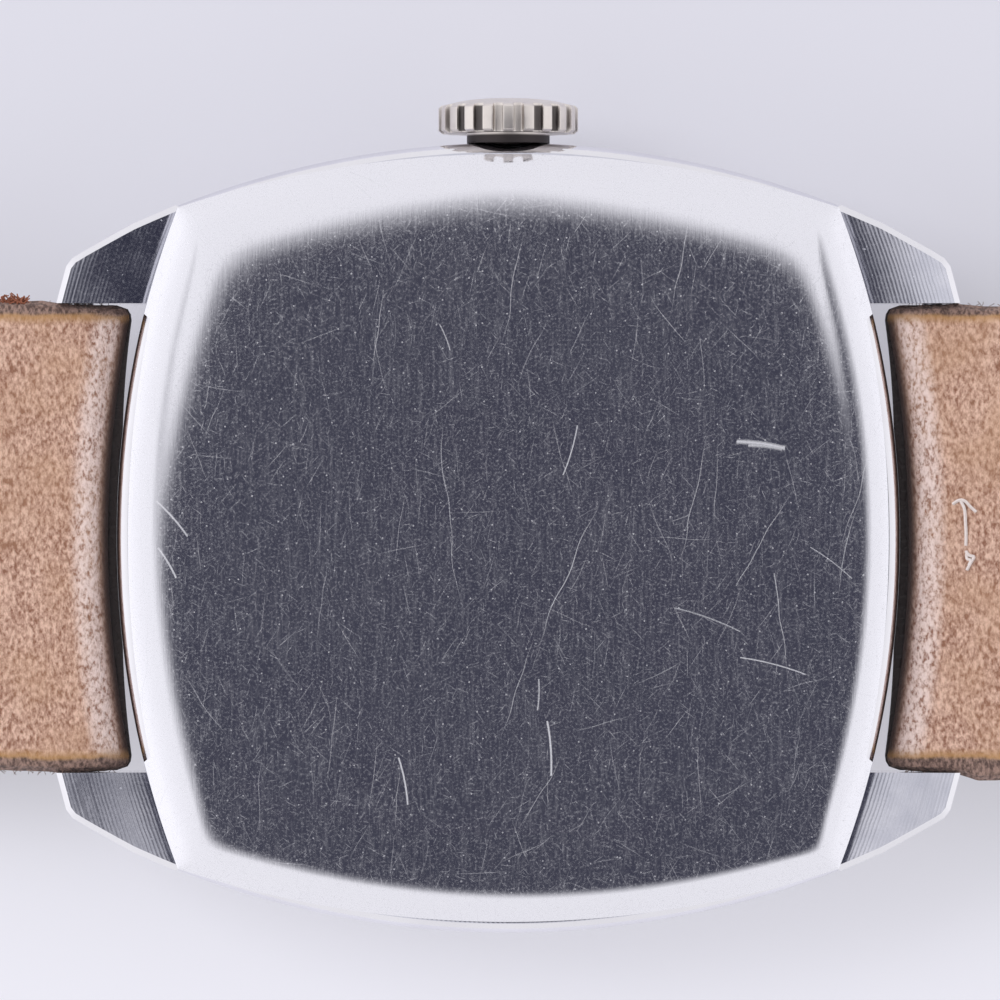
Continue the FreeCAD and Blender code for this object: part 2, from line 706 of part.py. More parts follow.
RATCHET_TEETH = 44
CROWN_TEETH = 30
SKIRT_TEETH = 14
SKIRT_R = WINDING_R * SKIRT_TEETH / WINDING_TEETH
SKIRT_IN = SKIRT_R - 0.26
SKIRT_OUT = SKIRT_R + 0.26
SKIRT_LOW = 6.2
CROWN_POST_R = 0.9
TOP_WHEEL_LOW = 6.64
TOP_WHEEL_HIGH = 6.92
TOP_MODULE = 2 * math.dist(BARREL, CROWN_WHEEL) / (RATCHET_TEETH + CROWN_TEETH)
RATCHET_STEP = 360.0 / RATCHET_TEETH
RATCHET_TIP_R = (RATCHET_TEETH / 2 + TOOTH_TIP) * TOP_MODULE
CLICK_GAP = 24.5
CLICK_ANGLE = direction(BARREL, CROWN_WHEEL) - 360 + CLICK_GAP * RATCHET_STEP
CLICK_TIP = polar(BARREL, RATCHET_TIP_R + 0.3, CLICK_ANGLE)
CLICK_POST_R = 0.35


def ratchet_wheel():
    wheel = toothed(
        RATCHET_TEETH, TOP_MODULE, TOP_WHEEL_LOW, TOP_WHEEL_HIGH, BARREL, direction(BARREL, CROWN_WHEEL)
    )
    half = 0.3 + 0.01
    x, y = BARREL
    return wheel.cut(box(x - half, x + half, y - half, y + half, 6, 8))


def crown_wheel():
    wheel = toothed(
        CROWN_TEETH, TOP_MODULE, TOP_WHEEL_LOW, TOP_WHEEL_HIGH,
        CROWN_WHEEL, direction(CROWN_WHEEL, BARREL), gap=True,
    )
    teeth = []
    step = 360.0 / SKIRT_TEETH
    for tooth in range(SKIRT_TEETH):
        corners = []
        for share, radius in ((-0.17, SKIRT_IN), (-0.14, SKIRT_OUT), (0.14, SKIRT_OUT), (0.17, SKIRT_IN)):
            corners.append(polar(CROWN_WHEEL, radius, 90 + (tooth + 0.5 + share) * step))
        teeth.append(prism(corners, SKIRT_LOW, TOP_WHEEL_LOW + 0.05))
    body = wheel.fuse(teeth)
    return body.cut(rod(CROWN_POST_R + RUN, 5, 8, CROWN_WHEEL)).removeSplitter()


def click():
    body = slab_between(CLICK, CLICK_TIP, 0.5, TOP_WHEEL_LOW, TOP_WHEEL_HIGH)
    beak = [
        polar(CLICK_TIP, 0.16, CLICK_ANGLE - 90),
        polar(CLICK_TIP, 0.16, CLICK_ANGLE + 90),
        polar(BARREL, RATCHET_TIP_R - 0.15, CLICK_ANGLE),
    ]
    body = body.fuse(prism(beak, TOP_WHEEL_LOW, TOP_WHEEL_HIGH))
    body = body.fuse(rod(0.8, TOP_WHEEL_LOW, TOP_WHEEL_HIGH, CLICK))
    return body.cut(rod(CLICK_POST_R + RUN, 6, 8, CLICK)).removeSplitter()


def click_spring():
    inner, outer = 1.15, 1.27
    band = ring(outer, inner, TOP_WHEEL_LOW, TOP_WHEEL_HIGH - 0.05, CLICK)
    sector = [CLICK] + [polar(CLICK, 3, angle) for angle in (-100, -50, 0, 40, 70)]
    keep = prism(sector, TOP_WHEEL_LOW, TOP_WHEEL_HIGH)
    foot = rod(0.3, TOP_WHEEL_LOW, TOP_WHEEL_HIGH - 0.05, polar(CLICK, 1.35, -92))
    return band.common(keep).fuse(foot).removeSplitter()


export("ratchet_wheel", ratchet_wheel())
export("crown_wheel", crown_wheel())
export("click", click())
export("click_spring", click_spring())

# Lever escapement and balance

STONE_HALF = 0.09
STONE_TIP_R = ESCAPE_R - 0.05
FORK_LOW = 5.60
FORK_HIGH = 5.75
BALANCE_LOW = 6.40
BALANCE_HIGH = 6.72
BALANCE_R = 4.2
PIN_FROM_STAFF = 0.38
BALANCE_COCK_LOW = 6.98
BALANCE_COCK_HIGH = 7.36


def stones():
    """Two ruby stones, each lying along a radius of the escape wheel."""
    solids = []
    for side in (1, -1):
        angle = direction(ESCAPE, PALLET) + side * 29.8
        start = polar(ESCAPE, STONE_TIP_R, angle)
        end = polar(ESCAPE, STONE_TIP_R + 0.75, angle)
        across = math.radians(angle + 90)
        dx = STONE_HALF * math.cos(across)
        dy = STONE_HALF * math.sin(across)
        corners = [
            (start[0] + dx, start[1] + dy),
            (start[0] - dx, start[1] - dy),
            (end[0] - dx, end[1] - dy),
            (end[0] + dx, end[1] + dy),
        ]
        solids.append(prism(corners, FORK_LOW, FORK_HIGH))
    return solids


def pallet_fork():
    body = rod(0.42, FORK_LOW, FORK_HIGH, PALLET)
    for side in (1, -1):
        angle = direction(ESCAPE, PALLET) + side * 29.8
        outer = polar(ESCAPE, STONE_TIP_R + 0.55, angle)
        body = body.fuse(slab_between(PALLET, outer, 0.4, FORK_LOW, FORK_HIGH))
    toward = direction(PALLET, BALANCE)
    reach = math.dist(PALLET, BALANCE) - PIN_FROM_STAFF
    body = body.fuse(slab_between(PALLET, polar(PALLET, reach - 0.35, toward), 0.26, FORK_LOW, FORK_HIGH))
    body = body.fuse(rod(0.3, FORK_LOW, FORK_HIGH, polar(PALLET, reach - 0.1, toward)))
    slot = slab_between(polar(PALLET, reach - 0.05, toward), polar(PALLET, reach + 1, toward), 0.26, 5, 6)
    body = body.cut(slot)
    arbor = turned([(4.4, 5.09, PIVOT_R), (5.09, 5.9, 0.18), (5.9, 6.22, PIVOT_R)], PALLET)
    body = body.cut(stones()).fuse(arbor).removeSplitter()
    return Part.makeCompound([body] + stones())


def balance_wheel():
    rim = ring(BALANCE_R, BALANCE_R - 0.38, BALANCE_LOW, BALANCE_HIGH, BALANCE)
    toward = direction(BALANCE, PALLET)
    arm_ends = [polar(BALANCE, BALANCE_R - 0.2, toward + 90 + turn) for turn in (0, 180)]
    arm = slab_between(arm_ends[0], arm_ends[1], 0.6, BALANCE_LOW + 0.04, BALANCE_LOW + 0.2)
    wheel = rim.fuse(arm).fuse(rod(0.5, BALANCE_LOW, BALANCE_LOW + 0.3, BALANCE))
    for screw in range(12):
        angle = toward + (screw + 0.5) * 30
        start = polar(BALANCE, BALANCE_R - 0.1, angle)
        turn = Vector(math.cos(math.radians(angle)), math.sin(math.radians(angle)), 0)
        head = Part.makeCylinder(0.13, 0.34, Vector(start[0], start[1], BALANCE_LOW + 0.16), turn)
        wheel = wheel.fuse(head)
    roller = rod(0.52, 5.84, 5.94, BALANCE)
    pin = rod(0.09, 5.58, 5.86, polar(BALANCE, PIN_FROM_STAFF, toward))
    staff = turned([(4.4, 5.09, PIVOT_R), (5.09, 7.0, 0.2), (7.0, 7.42, PIVOT_R)], BALANCE)
    return wheel.fuse([roller, pin, staff]).removeSplitter()


export("pallet_fork", pallet_fork())
export("balance_wheel", balance_wheel())

# Hairspring between a collet round the staff and a stud under the balance cock

HAIR_LOW = 6.80
HAIR_HIGH = 6.92
HAIR_INNER = 0.30
HAIR_PITCH = 0.18
HAIR_HALF_TURNS = 16


def hairspring():
    coil = spiral_strip(BALANCE, HAIR_INNER, HAIR_PITCH, HAIR_HALF_TURNS, 0.05, HAIR_LOW, HAIR_HIGH)
    collet = ring(HAIR_INNER + 0.03, 0.2 + RUN, HAIR_LOW, HAIR_HIGH, BALANCE)
    stud_x = BALANCE[0] + HAIR_INNER + HAIR_HALF_TURNS * HAIR_PITCH / 2
    stud = rod(0.14, HAIR_LOW, BALANCE_COCK_LOW, (stud_x, BALANCE[1]))
    return coil.fuse([collet, stud]).removeSplitter()


export("hairspring", hairspring())

# Main plate, bridges and cocks

BARREL_FEET = [(-2.85, 10.7), (3.9, 10.6), (7.6, -6.4)]
TRAIN_FEET = [(-8.6, 6.9), (-10.4, -3.4)]
PALLET_FOOT = (-7.2, -7.2)
BALANCE_FOOT = (3.2, -10.2)
CLAMP_ANGLES = (165, -20)
CLAMP_SCREW_R = 11.75
FOOT_R = 0.95
SCREW_R = 0.35
SCREW_END = 4.45
SCREW_HEAD_R = 0.62
CLICK_SCREW_R = 0.18
HEAD_THICK = 0.3
BALANCE_CLEAR = 4.75
JEWEL_THICK = 0.3
LOWER_JEWEL = PLATE_BACK - JEWEL_THICK
THIRD_JEWEL = 4.30
UPPER_JEWEL = 6.45
PALLET_COCK_LOW = 5.95
PALLET_COCK_HIGH = 6.27


def main_plate():
    plate = rod(MOVEMENT_R, PLATE_FRONT, PLATE_BACK)
    # Dial side: motion work and keyless work
    for place, radius in ((CENTRE, 2.25), (MINUTE, 2.15), (SETTING, 1.2)):
        plate = plate.cut(rod(radius, PLATE_FRONT - 1, PLATE_WEB, place))
    plate = plate.cut(box(0.2, 6.4, 5.4, 12.05, PLATE_FRONT - 1, PLATE_WEB + 0.05))
    # Back side: the centre wheel lies in a round recess
    plate = plate.cut(rod(4.35, 4.7, PLATE_BACK + 1))
    plate = plate.cut(rod(0.8, 4.65, PLATE_BACK + 1, THIRD))
    # The stem lies along +Y, with a window for its two pinions
    plate = plate.cut(box(-1.6, 1.6, PINION_WINDOW_IN, 10.0, PLATE_FRONT - 1, PLATE_BACK + 1))
    plate = plate.cut(rod_y(STEM_R + 0.05, 9, 14))
    plate = plate.cut(rod_y(0.3 + RUN, STEM_PILOT_END - 0.25, 7))
    plate = plate.cut(box(0, 1.3, 10.4, 12.1, PLATE_FRONT - 1, STEM_Z))
    studs = [
        rod(STUD_R, 3.5, PLATE_WEB + 0.1, MINUTE),
        rod(STUD_R, 3.9, PLATE_WEB + 0.1, SETTING),
        rod(0.3, 3.75, PLATE_WEB + 0.2, LEVER_PIVOT),
        rod(0.25, 3.75, PLATE_WEB + 0.2, YOKE_PIVOT),
    ]
    plate = plate.fuse(studs)
    plate = holes(plate, [CENTRE], 0.45 + RUN, 3, 6)
    plate = holes(plate, [BARREL], 0.35 + RUN, 4.45, 6)
    plate = holes(plate, [FOURTH, ESCAPE, PALLET, BALANCE], JEWEL_R, LOWER_JEWEL, 6)
    plate = holes(plate, [FOURTH, ESCAPE, PALLET, BALANCE], 0.2, 3, 6)
    plate = holes(plate, [THIRD], JEWEL_R, 3, 6)
    screw_places = BARREL_FEET + TRAIN_FEET + [PALLET_FOOT, BALANCE_FOOT]
    screw_places = screw_places + [polar(CENTRE, CLAMP_SCREW_R, angle) for angle in CLAMP_ANGLES]
    return holes(plate, screw_places, SCREW_R, SCREW_END, 6).removeSplitter()


def bridge(outline, feet, low, high):
    """Flat bridge on round feet, trimmed to the movement and clear of the balance."""
    slab = prism(outline, low, high).common(rod(MOVEMENT_R - 0.4, low, high))
    slab = slab.fuse([rod(FOOT_R, PLATE_BACK, low + 0.1, foot) for foot in feet])
    slab = slab.cut(rod(BALANCE_CLEAR, 4, 9, BALANCE))
    slab = holes(slab, feet, SCREW_R, 4, 9)
    return holes(slab, feet, SCREW_HEAD_R, high - HEAD_THICK, 9)


def barrel_bridge():
    outline = [
        (-0.85, -2.9), (2.2, -3.4), (6.2, -8.0), (13, -8.0),
        (13, 13), (-3.7, 13), (-3.7, 5.0), (-0.85, 3.9),
    ]
    floor = TOP_WHEEL_LOW - 0.04
    body = bridge(outline, BARREL_FEET, BRIDGE_LOW, BRIDGE_HIGH)
    # A shallow boss under the crown wheel carries its post and the groove for its hanging teeth
    body = body.fuse(rod(SKIRT_OUT + 0.35, STEM_Z + 1.05, BRIDGE_LOW + 0.1, CROWN_WHEEL))
    body = body.cut(rod(4.7, floor, 9, BARREL))
    body = body.cut(rod(3.3, floor, 9, CROWN_WHEEL))
    body = body.cut(ring(SKIRT_OUT + 0.08, SKIRT_IN - 0.08, SKIRT_LOW - 0.05, 9, CROWN_WHEEL))
    body = body.cut(box(-1.3, 1.3, PINION_IN - 0.16, PINION_OUT + 0.1, 5, floor + 0.1))
    body = body.fuse(rod(CROWN_POST_R, SKIRT_LOW - 0.1, TOP_WHEEL_HIGH, CROWN_WHEEL))
    body = body.cut(rod(SCREW_R, SKIRT_LOW, 9, CROWN_WHEEL))
    body = body.cut(rod(1.9, floor, 9, CLICK))
    body = body.cut(slab_between(CLICK, CLICK_TIP, 2.0, floor, 9))
    body = body.fuse(rod(CLICK_POST_R, floor - 0.1, TOP_WHEEL_HIGH, CLICK))
    body = body.cut(rod(CLICK_SCREW_R + 0.02, floor, 9, CLICK))
    body = holes(body, [BARREL], 0.45 + RUN, 6, 9)
    return holes(body, [CENTRE], 0.25 + RUN, 6, 9).removeSplitter()


def train_bridge():
    outline = [(-1.05, -2.6), (-1.05, 3.75), (-3.9, 4.85), (-3.9, 13), (-13, 13), (-13, -4.8), (-5.6, -4.8)]
    body = bridge(outline, TRAIN_FEET, BRIDGE_LOW, BRIDGE_HIGH)
    return holes(body, [THIRD, FOURTH, ESCAPE], JEWEL_R, 6, 9)


def cock(foot, foot_r, pivot, width, low, high):
    """One-armed bridge: a foot on the plate and an arm over one pivot."""
    body = slab_between(foot, pivot, width, low, high)
    body = body.fuse(rod(foot_r, PLATE_BACK, high, foot))
    body = body.cut(rod(SCREW_R, 4, 9, foot))
    body = body.cut(rod(SCREW_HEAD_R, high - HEAD_THICK + 0.05, 9, foot))
    return body.cut(rod(JEWEL_R, 4, 9, pivot)).removeSplitter()


export("main_plate", main_plate())
export("barrel_bridge", barrel_bridge())
export("train_bridge", train_bridge())
export("pallet_cock", cock(PALLET_FOOT, 0.85, PALLET, 1.3, PALLET_COCK_LOW, PALLET_COCK_HIGH))
export("balance_cock", cock(BALANCE_FOOT, 1.3, BALANCE, 2.3, BALANCE_COCK_LOW, BALANCE_COCK_HIGH))

# Jewels: rubies with a hole, pressed into the plate, the bridge and the cocks

jewels = [ring(JEWEL_R, PIVOT_R + RUN, THIRD_JEWEL, THIRD_JEWEL + JEWEL_THICK, THIRD)]
for place in (FOURTH, ESCAPE, PALLET, BALANCE):
    jewels.append(ring(JEWEL_R, PIVOT_R + RUN, LOWER_JEWEL, PLATE_BACK, place))
for place in (THIRD, FOURTH, ESCAPE):
    jewels.append(ring(JEWEL_R, PIVOT_R + RUN, UPPER_JEWEL, UPPER_JEWEL + JEWEL_THICK, place))
jewels.append(ring(JEWEL_R, PIVOT_R + RUN, PALLET_COCK_LOW, PALLET_COCK_LOW + 0.28, PALLET))
jewels.append(ring(JEWEL_R, PIVOT_R + RUN, BALANCE_COCK_LOW + 0.05, BALANCE_COCK_LOW + 0.35, BALANCE))
export("jewels", Part.makeCompound(jewels))

# Two clamps reach from the plate into a groove of the case, and slotted screws hold it all


def case_clamp(angle):
    inner = polar(CENTRE, CLAMP_SCREW_R - 0.1, angle)
    outer = polar(CENTRE, CASE_BORE_R - 0.42, angle)
    arm = slab_between(inner, outer, 1.4, CLAMP_LOW, CLAMP_HIGH)
    return arm.cut(rod(SCREW_R, 4, 7, polar(CENTRE, CLAMP_SCREW_R, angle)))


def screw(place, head_low, head_high, head_r, end, shank_r=SCREW_R - 0.02):
    """Slotted screw with a flat head."""
    body = rod(head_r, head_low, head_high, place).fuse(rod(shank_r, end, head_low, place))
    x, y = place
    slot = box(x - 0.07, x + 0.07, y - 2, y + 2, head_high - 0.12, head_high + 1)
    return body.cut(slot).removeSplitter()


def movement_screws():
    screws = []
    for place in BARREL_FEET + TRAIN_FEET:
        low = BRIDGE_HIGH - HEAD_THICK
        screws.append(screw(place, low, BRIDGE_HIGH, SCREW_HEAD_R - 0.04, SCREW_END + 0.05))
    for place, high in ((PALLET_FOOT, PALLET_COCK_HIGH), (BALANCE_FOOT, BALANCE_COCK_HIGH)):
        low = high - HEAD_THICK + 0.05
        screws.append(screw(place, low, high, SCREW_HEAD_R - 0.04, SCREW_END + 0.05))
    for angle in CLAMP_ANGLES:
        place = polar(CENTRE, CLAMP_SCREW_R, angle)
        screws.append(screw(place, CLAMP_HIGH, CLAMP_HIGH + 0.25, SCREW_HEAD_R, SCREW_END + 0.05))
    screws.append(screw(CROWN_WHEEL, TOP_WHEEL_HIGH, TOP_WHEEL_HIGH + 0.2, 1.3, SKIRT_LOW + 0.05))
    screws.append(screw(CLICK, TOP_WHEEL_HIGH, TOP_WHEEL_HIGH + 0.16, 0.65, TOP_WHEEL_LOW, CLICK_SCREW_R))
    return Part.makeCompound(screws)


export("case_clamps", Part.makeCompound([case_clamp(angle) for angle in CLAMP_ANGLES]))
export("movement_screws", movement_screws())

# Dial with applied markers and a sunk ring for the small seconds at 6 o'clock

SUB_DIAL_R = 2.4
MARKER_HEIGHT = 0.16
HOUR_ANGLE = 304.8
MINUTE_ANGLE = 57.5
SECONDS_ANGLE = 210.0

dial = rod(MOVEMENT_R - 0.03, DIAL_FACE, PLATE_FRONT)
dial = dial.cut(rod(HOUR_PIPE_R + 0.1, 2, 4)).cut(rod(0.22, 2, 4, FOURTH))
dial = dial.cut(rod(SUB_DIAL_R, 2, DIAL_FACE + 0.08, FOURTH))
export("dial", dial)


def marker(angle, offset, inner, outer, width):
    """Applied baton, its sides parallel to the radius through its hour."""
    low = DIAL_FACE - MARKER_HEIGHT
    baton = box(inner, outer, offset - width / 2, offset + width / 2, low, DIAL_FACE)
    top_edges = [edge for edge in baton.Edges if edge.BoundBox.ZMax < low + 1e-6]
    baton = baton.makeChamfer(0.07, top_edges)
    baton.rotate(Vector(0, 0, 0), Vector(0, 0, 1), angle)
    return baton


markers = [marker(0, side * 0.42, 8.7, 10.9, 0.55) for side in (-1, 1)]
for hour in range(1, 12):
    inner = 9.4 if hour in (5, 6, 7) else 9.0
    markers.append(marker(hour * 30, 0, inner, 10.9, 0.5))
export("dial_markers", Part.makeCompound(markers))


def hand(place, angle, length, tail, width, low, high, hub_r, bore_r):
    """Kite-shaped hand with a round hub."""
    outline = [
        polar(place, length, angle),
        polar(place, width / 2, angle + 90),
        polar(place, tail, angle + 180),
        polar(place, width / 2, angle - 90),
    ]
    body = prism(outline, low, high).fuse(rod(hub_r, low, high, place))
    return body.cut(rod(bore_r, low - 1, high + 1, place)).removeSplitter()


export("hour_hand", hand(CENTRE, HOUR_ANGLE, 6.4, 1.6, 1.7, 2.47, 2.60, 1.05, HOUR_PIPE_R))
export("minute_hand", hand(CENTRE, MINUTE_ANGLE, 10.3, 1.8, 1.4, 2.02, 2.14, 0.85, CANNON_R))
export("seconds_hand", hand(FOURTH, SECONDS_ANGLE, 2.0, 0.7, 0.3, 2.78, 2.88, 0.3, PIVOT_R))

# Spring bars: a tube, a spring inside and two shouldered tips that push in to free the strap

BAR_TUBE_END = 7.5
BAR_BORE_R = 0.42
TIP_INNER = 6.0
SPRING_HALF = TIP_INNER - BAR_TRAVEL - 0.15
TIP_SHOULDER = 8.35
TIP_END = 9.9


def bar_axis_rod(radius, y_low, y_high, side):
    return rod_y(radius, y_low, y_high, side * BAR_X, BAR_Z)


def bar_tip(side, end):
    """Tip at the 3 o'clock end (end 1) or the 9 o'clock end (end -1) of one bar."""
    tip = bar_axis_rod(TIP_R, TIP_INNER, TIP_END, side)
    tip = tip.fuse(bar_axis_rod(0.6, TIP_SHOULDER, TIP_SHOULDER + 0.2, side)).removeSplitter()
    return tip if end > 0 else tip.mirror(Vector(0, 0, 0), Vector(0, 1, 0))


tubes = []
springs = []
for side in (1, -1):
    tube = bar_axis_rod(BAR_R, -BAR_TUBE_END, BAR_TUBE_END, side)
    tubes.append(tube.cut(bar_axis_rod(BAR_BORE_R, -9, 9, side)))
    spring = bar_axis_rod(BAR_BORE_R - 0.04, -SPRING_HALF, SPRING_HALF, side)
    springs.append(spring.cut(bar_axis_rod(0.22, -9, 9, side)))
export("spring_bar_tubes", Part.makeCompound(tubes))
export("spring_bar_springs", Part.makeCompound(springs))
for side, hour in ((1, "12"), (-1, "6")):
    for end, sense in ((1, "crown_side"), (-1, "far_side")):
        export("bar_tip_" + hour + "_" + sense, bar_tip(side, end))

# Strap: two leather layers in each half, folded round the spring bar

NOSE_R = 1.1
NOSE_CORNER_R = 2.0
STRAP_START = 14.2
TAPER_START = 18.0
TAIL_TIP_LENGTH = 9.0
TIP_BULGE_X = 0.73
TIP_BULGE_Y = 0.70
STRAP_12_LOW = [(STRAP_START, 3.9), (17.6, 3.85), (22, 3.3), (45, 3.2)]
STRAP_12_HIGH = [(STRAP_START, 6.1), (17.6, 6.15), (22, 6.5), (45, 5.95)]
STRAP_6_LOW = [(STRAP_START, 3.9), (17.6, 3.8), (22, 3.1), (32, 0.85), (42, 0.0)]
STRAP_6_HIGH = [(STRAP_START, 6.1), (17.6, 6.15), (22, 6.2), (32, 4.15), (44, 2.95)]
STRAP_12_END = BUCKLE_X + 1.25
LINING_SHARE = 0.42
TANG_SLOT_HALF = 1.0
TANG_SLOT_START = 83.6


def side_curve(points, end):
    """Side view of one strap surface: a smooth bend, then straight to the end."""
    nodes = [Vector(x, 0, z) for x, z in points]
    last = Vector(end[0], 0, end[1])
    final = (last - nodes[-1]).normalize()
    bend = Part.BSplineCurve()
    bend.interpolate(Points=nodes, InitialTangent=Vector(1, 0, 0), FinalTangent=final)
    return [bend.toShape(), Part.makeLine(nodes[-1], last)]


def layer(low_points, low_end, high_points, high_end):
    """Leather between two side curves, as wide as the lug gap allows."""
    edges = side_curve(low_points, low_end) + side_curve(high_points, high_end)
    for lower, upper in ((low_points[0], high_points[0]), (low_end, high_end)):
        edges.append(Part.makeLine(Vector(lower[0], 0, lower[1]), Vector(upper[0], 0, upper[1])))
    face = Part.Face(Part.Wire(Part.__sortEdges__(edges)))
    solid = face.extrude(Vector(0, 24, 0))
    solid.translate(Vector(0, -12, 0))
    return solid


def between(low_points, high_points, share):
    """Curve between two strap surfaces, at a share of the way up."""
    return [(lx, lz + (hz - lz) * share) for (lx, lz), (_, hz) in zip(low_points, high_points)]


def strap_plan(end_x, tip_length):
    """Outline from above: parallel at the lugs, then tapered, with a rounded tip if asked."""
    half = STRAP_WIDTH / 2
    end_half = STRAP_END_WIDTH / 2
    shoulder_x = end_x - tip_length
    back_x = BAR_X - NOSE_CORNER_R - 1
    outline = [
        (shoulder_x, -end_half),
        (TAPER_START, -half),
        (back_x, -half),
        (back_x, half),
        (TAPER_START, half),
        (shoulder_x, end_half),
    ]
    if not tip_length:
        return prism(outline, -2, 10)
    corners = [Vector(x, y, -2) for x, y in outline]
    edges = Part.makePolygon(corners).Edges
    bulge_x = shoulder_x + tip_length * TIP_BULGE_X
    for side in (1, -1):
        start = Vector(shoulder_x, side * end_half, -2)
        middle = Vector(bulge_x, side * end_half * TIP_BULGE_Y, -2)
        edges.append(Part.Arc(start, middle, Vector(end_x, 0, -2)).toShape())
    return Part.Face(Part.Wire(Part.__sortEdges__(edges))).extrude(Vector(0, 0, 12))


def nose_room():
    """Space that the strap may fill: round about the bar at its nose, free beyond it."""
    reach = STRAP_WIDTH / 2 + 0.2
    corners = [
        Vector(BAR_X, -reach, BAR_Z),
        Vector(BAR_X - NOSE_CORNER_R, -reach, BAR_Z),
        Vector(BAR_X - NOSE_R, 0, BAR_Z),
        Vector(BAR_X - NOSE_CORNER_R, reach, BAR_Z),
        Vector(BAR_X, reach, BAR_Z),
    ]
    edges = [
        Part.makeLine(corners[0], corners[1]),
        Part.Arc(corners[1], corners[2], corners[3]).toShape(),
        Part.makeLine(corners[3], corners[4]),
        Part.makeLine(corners[4], corners[0]),
    ]
    nose = Part.Face(Part.Wire(edges)).revolve(Vector(BAR_X, 0, BAR_Z), Vector(0, 1, 0), 360)
    return nose.fuse(box(BAR_X, 140, -12, 12, -3, 12))


def strap_layer(lower, upper, plan):
    solid = layer(lower[0], lower[1], upper[0], upper[1])
    solid = solid.common(plan).common(nose_room())
    return solid.cut(rod_y(STRAP_BORE_R, -12, 12, BAR_X, BAR_Z))


def strap_layers(low, high, low_end, high_end, plan):
    """Outer layer and lining of one strap half, both drawn on the +X side."""
    share = 1 - LINING_SHARE
    middle = between(low, high, share)
    middle_end = (low_end[0], low_end[1] + (high_end[1] - low_end[1]) * share)
    outer = strap_layer((low, low_end), (middle, middle_end), plan)
    lining = strap_layer((middle, middle_end), (high, high_end), plan)
    return outer, lining


plan_12 = strap_plan(STRAP_12_END, 0)
layers_12 = strap_layers(
    STRAP_12_LOW, STRAP_12_HIGH, (STRAP_12_END, BUCKLE_Z - 1.1), (STRAP_12_END, BUCKLE_Z + 1.1), plan_12
)
slot = box(TANG_SLOT_START, STRAP_12_END + 1, -TANG_SLOT_HALF, TANG_SLOT_HALF, 0, 9)
buckle_bore = rod_y(BUCKLE_BAR_R + 0.05, -12, 12, BUCKLE_X, BUCKLE_Z)
for name, solid in zip(("strap_12_outer", "strap_12_lining"), layers_12):
    export(name, solid.cut(slot).cut(buckle_bore))

plan_6 = strap_plan(TAIL_END_X, TAIL_TIP_LENGTH)
layers_6 = strap_layers(STRAP_6_LOW, STRAP_6_HIGH, (TAIL_END_X, 0.0), (TAIL_END_X, 2.1), plan_6)
hole_places = [(TAIL_END_X - TANG_HOLE_FIRST - step * TANG_HOLE_STEP, 0) for step in range(TANG_HOLES)]
for name, solid in zip(("strap_6_outer", "strap_6_lining"), layers_6):
    drilled = holes(solid, hole_places, TANG_HOLE_R, -1, 9)
    export(name, drilled.mirror(Vector(0, 0, 0), Vector(1, 0, 0)))

# Keepers: leather loops round the 12 o'clock strap, with room under it for the tail

KEEPER_WALL = 0.9


def keeper(x_low, x_high, half_inner, top_inner):
    outer = box(
        x_low, x_high, -half_inner - KEEPER_WALL, half_inner + KEEPER_WALL, 0, top_inner + KEEPER_WALL
    )
    long_edges = [edge for edge in outer.Edges if edge.BoundBox.XLength > 1]
    outer = outer.makeFillet(0.7, long_edges)
    return outer.cut(box(x_low - 1, x_high + 1, -half_inner, half_inner, KEEPER_WALL, top_inner))


export("fixed_keeper", keeper(79.0, 83.4, 8.26, 5.72))
export("free_keeper", keeper(64.0, 69.0, 8.68, 5.98))

# Buckle: a steel frame, its bar and the tang

FRAME_END_X = 101.0
FRAME_INNER_X = 98.9
FRAME_BACK_X = 88.7
FRAME_INNER_Y = 8.25
FRAME_OUTER_Y = 10.2
FRAME_LOW = BUCKLE_Z - 0.8
FRAME_HIGH = BUCKLE_Z + 0.8
TANG_HALF = 0.8


def buckle_frame():
    outer = box(FRAME_BACK_X, FRAME_END_X, -FRAME_OUTER_Y, FRAME_OUTER_Y, FRAME_LOW, FRAME_HIGH)
    corners = [edge for edge in outer.Edges if edge.BoundBox.ZLength > 1]
    front = [edge for edge in corners if edge.BoundBox.XMin > FRAME_END_X - 0.1]
    outer = outer.makeFillet(2.4, front)
    upright = [edge for edge in outer.Edges if edge.BoundBox.ZLength > 1]
    back = [edge for edge in upright if edge.BoundBox.XMax < FRAME_BACK_X + 0.1]
    outer = outer.makeFillet(0.75, back)
    window = box(80, FRAME_INNER_X, -FRAME_INNER_Y, FRAME_INNER_Y, 0, 9)
    inner = [
        edge for edge in window.Edges
        if edge.BoundBox.ZLength > 1 and edge.BoundBox.XMin > FRAME_INNER_X - 0.1
    ]
    frame = outer.cut(window.makeFillet(0.9, inner))
    rims = edges_at_height(frame, FRAME_LOW) + edges_at_height(frame, FRAME_HIGH)
    frame = frame.makeFillet(0.3, rims)
    return frame.cut(rod_y(BUCKLE_BAR_R, -FRAME_OUTER_Y + 0.5, FRAME_OUTER_Y - 0.5, BUCKLE_X, BUCKLE_Z))


def buckle_tang():
    profile = [
        (90.9, 3.62), (98.3, 3.45), (101.3, 3.45), (101.7, 3.1), (101.3, 2.75), (98.3, 2.6), (90.3, 3.05),
    ]
    corners = [Vector(x, -TANG_HALF, z) for x, z in profile]
    arm = Part.Face(Part.makePolygon(corners + corners[:1])).extrude(Vector(0, 2 * TANG_HALF, 0))
    loop = rod_y(1.38, -TANG_HALF, TANG_HALF, BUCKLE_X, BUCKLE_Z)
    body = arm.fuse(loop)
    return body.cut(rod_y(BUCKLE_BAR_R + 0.04, -2, 2, BUCKLE_X, BUCKLE_Z)).removeSplitter()


